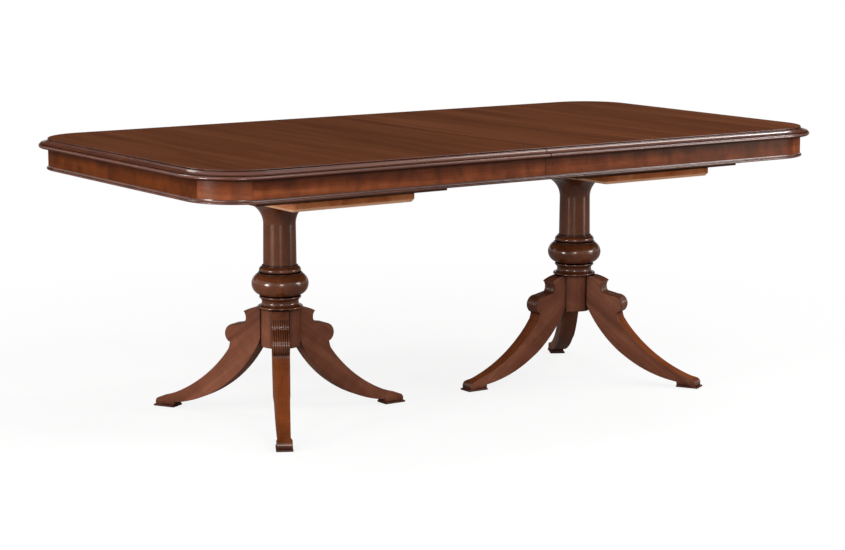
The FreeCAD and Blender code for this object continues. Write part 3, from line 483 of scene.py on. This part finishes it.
def node_shape(node):
    """The node's own shape, with its triangles joined into faces."""
    shape = bmesh.new()
    shape.from_mesh(nodes[node].data)
    bmesh.ops.remove_doubles(shape, verts=shape.verts, dist=SAME_POINT)
    bmesh.ops.dissolve_limit(shape, angle_limit=SAME_PLANE, verts=shape.verts, edges=shape.edges)
    for face in shape.faces:
        face.smooth = True
    return shape


def cut_across(shape, x):
    """Adds a line of edges where the shape crosses a plane at x."""
    everything = shape.verts[:] + shape.edges[:] + shape.faces[:]
    bmesh.ops.bisect_plane(shape, geom=everything, plane_co=(x, 0, 0), plane_no=(1, 0, 0))


def to_mesh(shape, name):
    mesh = bpy.data.meshes.new(name)
    shape.to_mesh(mesh)
    shape.free()
    return mesh


def eased(node, slot, direction, radius, finish=None):
    """The node's own shape with its edges rounded over."""
    name = f"{node}_eased"
    mesh = to_mesh(node_shape(node), name)
    set_grain(mesh, direction)
    piece = add_piece(name, mesh, node, slot, finish=finish)
    rounding = piece.modifiers.new("eased_edges", "BEVEL")
    rounding.width = radius
    rounding.segments = EASE_SEGMENTS
    rounding.limit_method = "ANGLE"
    rounding.angle_limit = EASE_ANGLE
    rounding.use_clamp_overlap = False
    weigh_normals(piece)


def finished(node, slot, direction, finish=None):
    """The node's own shape and shading, with the grain added."""
    name = f"{node}_finished"
    mesh = nodes[node].data.copy()
    mesh.name = name
    set_grain(mesh, direction)
    add_piece(name, mesh, node, slot, finish=finish)


def use_material(node, slot):
    """A node that stays as it is, with a better material."""
    mesh = nodes[node].data
    for index in range(len(mesh.materials)):
        mesh.materials[index] = materials[slot]


# Carved legs, drawn in millimetres as radius from the column's axis and height above the floor

HUB_TOP = 309
HUB_FLAT = 47
LEG_WIDTH = 47
LEG_SEAT = 60
LIP = (100, 295)
LIP_CENTRE = 43
COVE_LIP = (98.5, 292)
COVE_FOOT = (98, 264)
COVE_CENTRE = 117
KNOB_CENTRE = 133
KNOB_HEIGHT = 229
KNOB_RADIUS = 27.5
KNOB_FOOT_RISE = 24.8
NOTCH = (145.5, 199)
SABRE_START = (149.5, 187.4)
SABRE_CENTRE = 493
ANKLE = (381.4, 27.55)
TOE_CENTRE = 378
TOE = (391, 15)
FOOT_LEVEL = 6
HEEL = (331, 16)
UNDER_CENTRE = 381
UNDER_END = (47, 222)
WIDTHS = [(149.5, 47), (168, 43), (364, 34), (376, 42.5)]
PAD_RADII = (331, 397)
PAD_LEVELS = (2, 7)
PAD_WIDTH = 45
PAD_ROUND = 1.2
EDGE_ROUND = 1.3
ROUND_SEGMENTS = 3
REEDS = 8
REED_DEPTH = 1.9
REED_COLUMNS = 8
REED_END_STEPS = 3
REED_MARGIN_IN = 10
REED_MARGIN_UP = 0.1
LIP_STEPS = 8
COVE_STEPS = 14
LEDGE_STEPS = 8
KNOB_STEPS = 24
SABRE_STEPS = 48
SABRE_CUTS = 12
TOE_STEPS = 8
UNDER_STEPS = 40
ROOT_STEPS = 16
SIDE_NORMAL = 0.9
LEG_SHARP_ANGLE = math.radians(40)
LEG_SLOPE = math.radians(38)

# A leg's material slots: its sides and other plain faces, its reeds, the sabre's outer face, its toe
SIDE_FINISH, REED_FINISH, SABRE_FINISH, TOE_FINISH = range(4)
MORE_LEG_FINISHES = ("reed_wood", "sabre_wood", "column_wood")


def arc_centre(start, end, centre_r):
    """Height of the centre, at that radius, of an arc from start to end, and the arc's own radius."""
    (r0, z0), (r1, z1) = start, end
    centre_z = ((r0 - centre_r) ** 2 - (r1 - centre_r) ** 2 + z0 ** 2 - z1 ** 2) / (2 * (z0 - z1))
    return centre_z, math.hypot(r0 - centre_r, z0 - centre_z)


def arc(start, end, centre_r, steps):
    """Points after start, to end, the short way round a centre at that radius."""
    (r0, z0), (r1, z1) = start, end
    centre_z, radius = arc_centre(start, end, centre_r)
    first = math.atan2(z0 - centre_z, r0 - centre_r)
    last = math.atan2(z1 - centre_z, r1 - centre_r)
    turn = (last - first + math.pi) % (2 * math.pi) - math.pi
    points = []
    for step in range(1, steps + 1):
        angle = first + turn * step / steps
        points.append((centre_r + radius * math.cos(angle), centre_z + radius * math.sin(angle)))
    return points


def straight(start, end, steps):
    """Points after start, to end, on a straight line."""
    (r0, z0), (r1, z1) = start, end
    points = []
    for step in range(1, steps + 1):
        share = step / steps
        points.append((r0 + (r1 - r0) * share, z0 + (z1 - z0) * share))
    return points


def inward(path, distance):
    """The path moved into the leg by a distance, along its own normals."""
    moved = []
    for index, (r, z) in enumerate(path):
        r0, z0 = path[max(index - 1, 0)]
        r1, z1 = path[min(index + 1, len(path) - 1)]
        length = math.hypot(r1 - r0, z1 - z0)
        moved.append((r + (z1 - z0) / length * distance, z - (r1 - r0) / length * distance))
    return moved


def width_at(radius):
    """Leg's width at a radius: tapering down the sabre, then flared to the foot."""
    for (r0, w0), (r1, w1) in zip(WIDTHS, WIDTHS[1:]):
        if radius <= r1:
            return w0 + (w1 - w0) * max(radius - r0, 0) / (r1 - r0)
    return WIDTHS[-1][1]


def under_split():
    """Where the long under curve passes below the start of the sabre."""
    centre_z, radius = arc_centre(HEEL, UNDER_END, UNDER_CENTRE)
    rise = math.sqrt(radius ** 2 - (SABRE_START[0] - UNDER_CENTRE) ** 2)
    return SABRE_START[0], centre_z + math.copysign(rise, HEEL[1] - centre_z)


def sabre_outline():
    """Side view below the scroll: down the sabre, round the toe, along the foot, up the under curve."""
    outline = [SABRE_START] + arc(SABRE_START, ANKLE, SABRE_CENTRE, SABRE_STEPS)
    outline += arc(ANKLE, TOE, TOE_CENTRE, TOE_STEPS)
    outline += [(TOE[0], FOOT_LEVEL), (HEEL[0], FOOT_LEVEL), HEEL]
    return outline + arc(HEEL, under_split(), UNDER_CENTRE, UNDER_STEPS)


def reed_path():
    """Crest of the reeds: from under the lip down the cove, out over the ledge and round the knob."""
    knob_top = (KNOB_CENTRE, KNOB_HEIGHT + KNOB_RADIUS)
    foot_r = KNOB_CENTRE + math.sqrt(KNOB_RADIUS ** 2 - KNOB_FOOT_RISE ** 2)
    foot = (foot_r, KNOB_HEIGHT - KNOB_FOOT_RISE)
    path = [COVE_LIP] + arc(COVE_LIP, COVE_FOOT, COVE_CENTRE, COVE_STEPS)
    path += straight(COVE_FOOT, knob_top, LEDGE_STEPS)
    return path + arc(knob_top, foot, KNOB_CENTRE, KNOB_STEPS)


def leg_vertex(shape, point, y):
    return shape.verts.new((point[0] * MM, y * MM, point[1] * MM))


def strip_finish(index):
    """Which finish a strip of the outline has, counted from the sabre's start."""
    if index < SABRE_STEPS:
        return SABRE_FINISH
    return TOE_FINISH if index <= SABRE_STEPS + TOE_STEPS else SIDE_FINISH


def add_sabre(shape):
    """The tapered sabre and foot, open where the scroll joins; returns the two pairs of corners there."""
    outline = sabre_outline()
    front = [leg_vertex(shape, point, LEG_WIDTH / 2) for point in outline]
    back = [leg_vertex(shape, point, -LEG_WIDTH / 2) for point in outline]
    shape.faces.new(front)
    shape.faces.new(back)
    for index in range(len(outline) - 1):
        face = shape.faces.new((front[index], front[index + 1], back[index + 1], back[index]))
        face.material_index = strip_finish(index)
    first, last, flare = [radius for radius, width in WIDTHS[1:]]
    cuts = [first + (last - first) * step / SABRE_CUTS for step in range(SABRE_CUTS + 1)]
    for radius in cuts + [flare]:
        cut_across(shape, radius * MM)
    for vertex in shape.verts:
        vertex.co.y = math.copysign(width_at(vertex.co.x / MM) / 2 * MM, vertex.co.y)
    return (front[0], back[0]), (front[-1], back[-1])


def add_scroll(shape, sabre_top, sabre_under):
    """The block at the hub with lip, cove and knob; its sides meet the sabre's."""
    seat = [(HUB_FLAT, HUB_TOP), (LEG_SEAT, HUB_TOP)]
    seat += arc((LEG_SEAT, HUB_TOP), LIP, LIP_CENTRE, LIP_STEPS) + [COVE_LIP]
    crest = reed_path()
    bed = inward(crest, REED_DEPTH)
    root = arc(under_split(), UNDER_END, UNDER_CENTRE, ROOT_STEPS)
    rings = []
    for side, top, under in ((1, sabre_top[0], sabre_under[0]), (-1, sabre_top[1], sabre_under[1])):
        y = side * LEG_WIDTH / 2
        ring = [leg_vertex(shape, point, y) for point in seat + bed + [NOTCH]]
        ring += [top, under]
        ring += [leg_vertex(shape, point, y) for point in root]
        shape.faces.new(ring)
        rings.append(ring)
    front, back = rings
    bed_start = len(seat)
    bed_end = bed_start + len(bed) - 1
    for index in range(len(front)):
        following = (index + 1) % len(front)
        inside = front[index] is sabre_top[0]
        if not inside and not bed_start - 1 <= index <= bed_end:
            face = shape.faces.new((front[index], front[following], back[following], back[index]))
            above_sabre = front[following] is sabre_top[0]
            face.material_index = SABRE_FINISH if above_sabre else SIDE_FINISH
    rows = add_reeds(shape, bed, crest, front[bed_start:bed_end + 1], back[bed_start:bed_end + 1])
    shape.faces.new([front[bed_start - 1], *rows[0], back[bed_start - 1]])
    strip = shape.faces.new([back[bed_end + 1], *reversed(rows[-1]), front[bed_end + 1]])
    strip.material_index = SABRE_FINISH


def reed_rise(place):
    """How high a reed stands at a place counted in reeds across the row: 0 between two, 1 on the crest."""
    across = 2 * (place % 1) - 1
    return math.sqrt(1 - across ** 2)


def add_reeds(shape, bed, crest, front, back):
    """Round reeds side by side, raised from their bed and rounded off at both ends."""
    columns = REEDS * REED_COLUMNS
    rows = []
    for index, ((r, z), (crest_r, crest_z)) in enumerate(zip(bed, crest)):
        from_end = min(index, len(bed) - 1 - index)
        size = math.sqrt(1 - (1 - min(from_end / REED_END_STEPS, 1)) ** 2)
        row = [front[index]]
        for column in range(1, columns):
            lift = size * reed_rise(column / REED_COLUMNS)
            point = (r + (crest_r - r) * lift, z + (crest_z - z) * lift)
            row.append(leg_vertex(shape, point, LEG_WIDTH * (0.5 - column / columns)))
        rows.append(row + [back[index]])
    for row, following in zip(rows, rows[1:]):
        for column in range(columns):
            beside = column + 1
            face = shape.faces.new((row[column], row[beside], following[beside], following[column]))
            face.material_index = REED_FINISH
    return rows


def set_recess(mesh):
    """Marks how deep each point lies between the reeds, for the dark stain and painted shade there."""
    layer = mesh.attributes.new("recess", "FLOAT", "POINT")
    for vertex in mesh.vertices:
        place = (0.5 - vertex.co.y / (LEG_WIDTH * MM)) * REEDS
        depth = 1 - reed_rise(round(place * REED_COLUMNS) / REED_COLUMNS)
        layer.data[vertex.index].value = depth


def is_reeded(point):
    outside = point.x > (COVE_FOOT[0] - REED_MARGIN_IN) * MM
    return outside and NOTCH[1] * MM < point.z < (COVE_LIP[1] + REED_MARGIN_UP) * MM


def round_over(shape, edges, radius):
    bmesh.ops.bevel(shape, geom=edges, offset=radius * MM, segments=ROUND_SEGMENTS, profile=0.5,
                    affect="EDGES", clamp_overlap=False)


def ease_leg(shape):
    """Rounds the long edges between the leg's flat sides and its curved faces, but not along the reeds."""
    edges = []
    for edge in shape.edges:
        sides = [abs(face.normal.y) > SIDE_NORMAL for face in edge.link_faces]
        reeded = all(is_reeded(vertex.co) for vertex in edge.verts)
        if sides.count(True) == 1 and not reeded:
            edges.append(edge)
    round_over(shape, edges, EDGE_ROUND)


def add_pad(shape):
    """Thin pad under the foot, its edges rounded."""
    heel, toe = PAD_RADII
    half = PAD_WIDTH / 2
    plan = ((heel, -half), (toe, -half), (toe, half), (heel, half))
    low, high = [[leg_vertex(shape, (r, level), y) for r, y in plan] for level in PAD_LEVELS]
    faces = [shape.faces.new(reversed(low)), shape.faces.new(high)]
    for index in range(len(plan)):
        beside = (index + 1) % len(plan)
        faces.append(shape.faces.new((low[index], low[beside], high[beside], high[index])))
    edges = dict.fromkeys(edge for face in faces for edge in face.edges)
    round_over(shape, list(edges), PAD_ROUND)


def leg_mesh():
    shape = bmesh.new()
    sabre_top, sabre_under = add_sabre(shape)
    add_scroll(shape, sabre_top, sabre_under)
    bmesh.ops.recalc_face_normals(shape, faces=shape.faces)
    ease_leg(shape)
    add_pad(shape)
    bmesh.ops.recalc_face_normals(shape, faces=shape.faces)
    for face in shape.faces:
        face.smooth = True
    mesh = to_mesh(shape, "carved_leg")
    mesh.set_sharp_from_angle(angle=LEG_SHARP_ANGLE)
    return mesh


def along_leg(point):
    """Grain runs down the sabre's slope."""
    along = point.x * math.cos(LEG_SLOPE) - point.z * math.sin(LEG_SLOPE)
    across = point.x * math.sin(LEG_SLOPE) + point.z * math.cos(LEG_SLOPE)
    return along, across, point.y


def middle(node):
    low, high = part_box(node)
    return (low + high) / 2


def add_legs(half):
    axis = middle(f"{half}_hub")
    for place in ("inner", "front", "back"):
        node = f"{half}_{place}_leg"
        reach = middle(node) - axis
        angle = math.atan2(reach.y, reach.x)
        mesh = leg_mesh()
        set_grain(mesh, along_leg)
        set_recess(mesh)
        matrix = Matrix.Translation((axis.x, axis.y, 0)) @ Matrix.Rotation(angle, 4, "Z")
        weigh_normals(add_piece(f"{node}_carved", mesh, node, "pedestal_wood", matrix))
        for finish in MORE_LEG_FINISHES:
            mesh.materials.append(materials[finish])


# Top panels: flat leaves of veneer within a moulded edge

CORNER_RADIUS = 170 * MM
NOSE_DROP = 14.6 * MM
SEAM_STAIN = 2 * MM
FLAT_NORMAL = 0.999
UPRIGHT_NORMAL = 0.3
# How far each place of the moulding counts as a recess: painted shade and glaze in the quirks, a dark
# joint at the seam, painted shade under the nose
QUIRK_RECESS = 1.0
SEAM_RECESS = 0.7
UNDER_NOSE_SHADE = 0.6
BACK_EDGE_SHIFT = 7
NEVER_ZERO = 1e-9
FLAT_FINISH, EDGE_FINISH = range(2)


def round_edge(point, corner):
    """How far a point of the top's moulding lies along the table's edge, in from it, and up."""
    over_x = abs(point.x) - corner.x
    over_y = abs(point.y) - corner.y
    turn = math.atan2(max(over_x, 0), max(over_y, NEVER_ZERO))
    along = min(abs(point.x), corner.x) + turn * CORNER_RADIUS - min(abs(point.y), corner.y)
    depth = math.hypot(max(over_x, 0), max(over_y, 0))
    return along + BACK_EDGE_SHIFT * (point.y > 0), depth, point.z


def is_flat(face):
    return abs(face.normal.z) > FLAT_NORMAL


def edge_recess(face, top, seam):
    """Dark glaze and painted shade in the moulding's upright quirks, painted shade under its nose, and a
    dark joint at the seam.
    """
    if abs(face.center.x - seam) < SEAM_STAIN:
        return SEAM_RECESS
    if face.normal.z < -UPRIGHT_NORMAL:
        return UNDER_NOSE_SHADE
    upright = abs(face.normal.z) < UPRIGHT_NORMAL and face.center.z > top - NOSE_DROP
    return QUIRK_RECESS if upright else 0.0


def set_panel_grain(mesh, corner):
    """Leaves of veneer run across the flat top, and the moulded edge has its own grain along it."""
    layer = mesh.attributes.new("grain", "FLOAT_VECTOR", "CORNER")
    for face in mesh.polygons:
        flat = is_flat(face)
        for loop in face.loop_indices:
            point = mesh.vertices[mesh.loops[loop].vertex_index].co
            layer.data[loop].vector = along_y(point) if flat else round_edge(point, corner)


def top_mesh(node, strip_edge):
    """The panel's own shape, with a narrow strip cut off along the seam."""
    shape = node_shape(node)
    cut_across(shape, strip_edge)
    mesh = to_mesh(shape, f"{node}_finished")
    mesh.set_sharp_from_angle(angle=EASE_ANGLE)
    return mesh


def add_top(half):
    node = f"{half}_top_panel"
    low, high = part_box(node)
    seam, strip_edge = (high.x, high.x - SEAM_STAIN) if half == "left" else (low.x, low.x + SEAM_STAIN)
    length = max(abs(low.x), abs(high.x))
    mesh = top_mesh(node, strip_edge)
    set_panel_grain(mesh, Vector((length - CORNER_RADIUS, high.y - CORNER_RADIUS)))
    piece = add_piece(f"{node}_finished", mesh, node, "top_wood")
    mesh.materials.append(materials["edge_wood"])
    layer = mesh.attributes.new("recess", "FLOAT", "FACE")
    for face in mesh.polygons:
        face.material_index = FLAT_FINISH if is_flat(face) else EDGE_FINISH
        layer.data[face.index].value = edge_recess(face, high.z, seam)
    weigh_normals(piece)


# The whole table

RAIL_EDGE = 0.5 * MM
BOARD_EDGE = 1.0 * MM
SLIDE_EDGE = 0.8 * MM


def corner_centre(half, side):
    """Upright axis of a rounded corner of the top."""
    low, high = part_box(f"{half}_top_panel")
    x = low.x + CORNER_RADIUS if half == "left" else high.x - CORNER_RADIUS
    y = low.y + CORNER_RADIUS if side == "front" else high.y - CORNER_RADIUS
    return Vector((x, y))


def add_half(half):
    add_top(half)
    for side in SIDES:
        bend = round_corner(corner_centre(half, side))
        eased(f"{half}_{side}_apron", "apron_wood", along_x, RAIL_EDGE)
        eased(f"{half}_{side}_corner", "apron_wood", bend, RAIL_EDGE, "corner_wood")
        eased(f"{half}_{side}_bearer", "bearer_wood", along_x, SLIDE_EDGE)
    eased(f"{half}_end_apron", "apron_wood", along_y, RAIL_EDGE, "end_wood")
    for part in ("straight_beads", "corner_beads"):
        finished(f"{half}_{part}", "apron_wood", along_x, "edge_wood")
    eased(f"{half}_mounting_board", "board_wood", along_y, BOARD_EDGE)
    eased(f"{half}_glue_blocks", "slide_wood", along_x, SLIDE_EDGE)
    finished(f"{half}_hub", "pedestal_wood", along_z)
    for part in ("column_shaft", "column_vase"):
        finished(f"{half}_{part}", "pedestal_wood", along_z, "column_wood")
    finished(f"{half}_leg_dowels", "dowel_wood", along_x)
    add_legs(half)
    for part in ("tie_rod", "tie_rod_nuts", "board_screws", "slide_screws"):
        use_material(f"{half}_{part}", "steel")
    use_material(f"{half}_glides", "glide_plastic")


def add_slides():
    for side in SIDES:
        for place in ("left", "middle", "right"):
            eased(f"{side}_{place}_slide", "slide_wood", along_x, SLIDE_EDGE)


def add_fittings():
    for node in ("seam_pins", "lock_plates", "lock_keepers", "front_lock_lever", "back_lock_lever"):
        use_material(node, "steel")


for half_name in HALVES:
    add_half(half_name)
add_slides()
add_fittings()


# Floor and background

FLOOR_SIZE = 60
FLOOR_WHITE = 0.25
FLOOR_PAPER = 0.9
FLOOR_GLOW = 0.84
FLOOR_SHADED = (0.9, 2.8)
FLOOR_MIRRORED = 0.15
WORLD_COLOUR = (1.0, 0.985, 0.965, 1.0)
WORLD_LIGHT = 0.2


def seen_directly(tree, mirrored=1.0):
    """1 where the camera sees the background itself, and a share where reflections or glass show it."""
    path = tree.add("ShaderNodeLightPath").outputs
    indirect = tree.math("MAXIMUM", path["Is Glossy Ray"], path["Is Transmission Ray"])
    return tree.math("MULTIPLY_ADD", indirect, mirrored, path["Is Camera Ray"])


def floor_glow(tree):
    """How far the floor shows as plain white: less near the table, so that its shadow stays."""
    place = tree.add("ShaderNodeNewGeometry").outputs["Position"]
    distance = tree.vector_math("LENGTH", place).outputs["Value"]
    away = tree.feed("ShaderNodeMapRange", {"interpolation_type": "SMOOTHSTEP"},
                     distance, *FLOOR_SHADED, FLOOR_GLOW, 1.0)
    return tree.math("MULTIPLY", seen_directly(tree, FLOOR_MIRRORED), away.outputs[0])


def floor_colour(tree):
    """White paper to the camera, and darker for the light that it throws back on the table."""
    camera = tree.add("ShaderNodeLightPath").outputs["Is Camera Ray"]
    return tree.math("MULTIPLY_ADD", camera, FLOOR_PAPER - FLOOR_WHITE, FLOOR_WHITE)


def add_floor():
    bpy.ops.mesh.primitive_plane_add(size=FLOOR_SIZE)
    floor = bpy.context.object
    floor.name = "studio_floor"
    tree = new_material("studio_floor")
    tree.clear()
    matt = tree.add("ShaderNodeBsdfDiffuse", Color=floor_colour(tree))
    white = tree.add("ShaderNodeEmission")
    tree.finish_mixed(floor_glow(tree), matt, white, "ShaderNodeOutputMaterial")
    floor.data.materials.append(tree.owner)


def add_world():
    world = bpy.data.worlds.new("studio")
    bpy.context.scene.world = world
    tree = NodeTree(world)
    tree.clear()
    light = tree.add("ShaderNodeBackground", Color=WORLD_COLOUR, Strength=WORLD_LIGHT)
    white = tree.add("ShaderNodeBackground", Color=grey(1.0), Strength=1.0)
    tree.finish_mixed(seen_directly(tree), light, white, "ShaderNodeOutputWorld")


# Lamps, reflection card and camera

FLAG_SIZE = (12, 3.4)
FLAG_PLACE = (2.0, 2.94, 2.68)
FLAG_TURN = math.radians(-34)
FLAG_GREY = 0.04
FLAG_HIDDEN_FROM = ("camera", "diffuse", "transmission", "shadow", "volume_scatter")
CAMERA_PLACE = (-3.72176, -5.40817, 1.43398)
CAMERA_TARGET = (-0.0401, -0.0043, 0.3559)
CAMERA_LENS = 99.95
CAMERA_SENSOR = 36
CAMERA_REACH = 200
WHITE = (1.0, 1.0, 1.0)
WARM = (1.0, 0.84, 0.7)

# Each lamp: its name, place, target, size, power and colour
LAMPS = [
    ("left_high", (-3.7, -1.0, 3.1), (-0.8, 0, 0.5), (1.6, 1.2), 45, WHITE),
    ("front_high", (0.3, -3.0, 3.6), (0, 0, 0.6), (2.4, 1.2), 72, WHITE),
    ("right_high", (3.0, -2.3, 3.5), (0.5, 0, 0.7), (1.6, 0.4), 36, WHITE),
    ("right_top", (2.6, 0.1, 3.5), (0.7, -0.3, 0.75), (0.5, 1.7), 29, WHITE),
    ("right_edge", (3.25, 0.2, 3.2), (0.75, -0.5, 0.76), (0.4, 0.5), 12, WHITE),
    ("back_high", (-2.0, 2.7, 3.4), (0, 0, 0.5), (2.0, 1.0), 38, WHITE),
    ("left_low", (-4.5, -0.35, 1.0), (-0.5, 0, 0.4), (0.9, 0.8), 104, WHITE),
    ("camera_low", (-2.9, -5.3, 1.9), (-0.2, 0, 0.45), (1.0, 0.8), 74, WHITE),
    ("right_low", (4.3, -4.2, 1.9), (0.4, 0, 0.5), (1.7, 0.6), 95, WHITE),
    ("left_wall", (-2.9, -0.3, 0.75), (-0.5, 0, 0.6), (0.9, 1.4), 7, WARM),
    ("front_wall", (-1.7, -2.6, 0.75), (-0.5, 0, 0.6), (0.7, 1.4), 7, WARM),
    ("right_wall", (2.3, -2.1, 0.75), (0.5, 0, 0.6), (0.7, 1.4), 13, WARM),
]


def aim(holder, place, target):
    """Puts a lamp or the camera in the scene, facing its target."""
    holder.location = place
    holder.rotation_euler = (Vector(target) - Vector(place)).to_track_quat("-Z", "Y").to_euler()
    bpy.context.collection.objects.link(holder)


def add_softbox(name, place, target, size, power, colour):
    lamp = bpy.data.lights.new(name, "AREA")
    lamp.shape = "RECTANGLE"
    lamp.size, lamp.size_y = size
    lamp.energy = power
    lamp.color = colour
    holder = bpy.data.objects.new(name, lamp)
    holder.visible_camera = False
    aim(holder, place, target)


def add_flag():
    """Dark card behind the table, seen only in reflections, that keeps the polished top from glaring."""
    bpy.ops.mesh.primitive_plane_add(size=1)
    card = bpy.context.object
    card.name = "reflection_flag"
    card.scale = (*FLAG_SIZE, 1)
    card.location = FLAG_PLACE
    card.rotation_euler = (math.pi / 2, 0, FLAG_TURN)
    for kind in FLAG_HIDDEN_FROM:
        setattr(card, f"visible_{kind}", False)
    tree = new_material("reflection_flag")
    card.data.materials.append(tree.finish(Base_Color=grey(FLAG_GREY), Roughness=1.0))


def add_camera():
    camera = bpy.data.cameras.new("photo_camera")
    camera.sensor_width = CAMERA_SENSOR
    camera.lens = CAMERA_LENS
    camera.clip_end = CAMERA_REACH
    holder = bpy.data.objects.new("photo_camera", camera)
    aim(holder, CAMERA_PLACE, CAMERA_TARGET)
    bpy.context.scene.camera = holder


add_floor()
add_world()
add_flag()
for lamp_facts in LAMPS:
    add_softbox(*lamp_facts)
add_camera()
bpy.context.scene.view_settings.view_transform = "Standard"
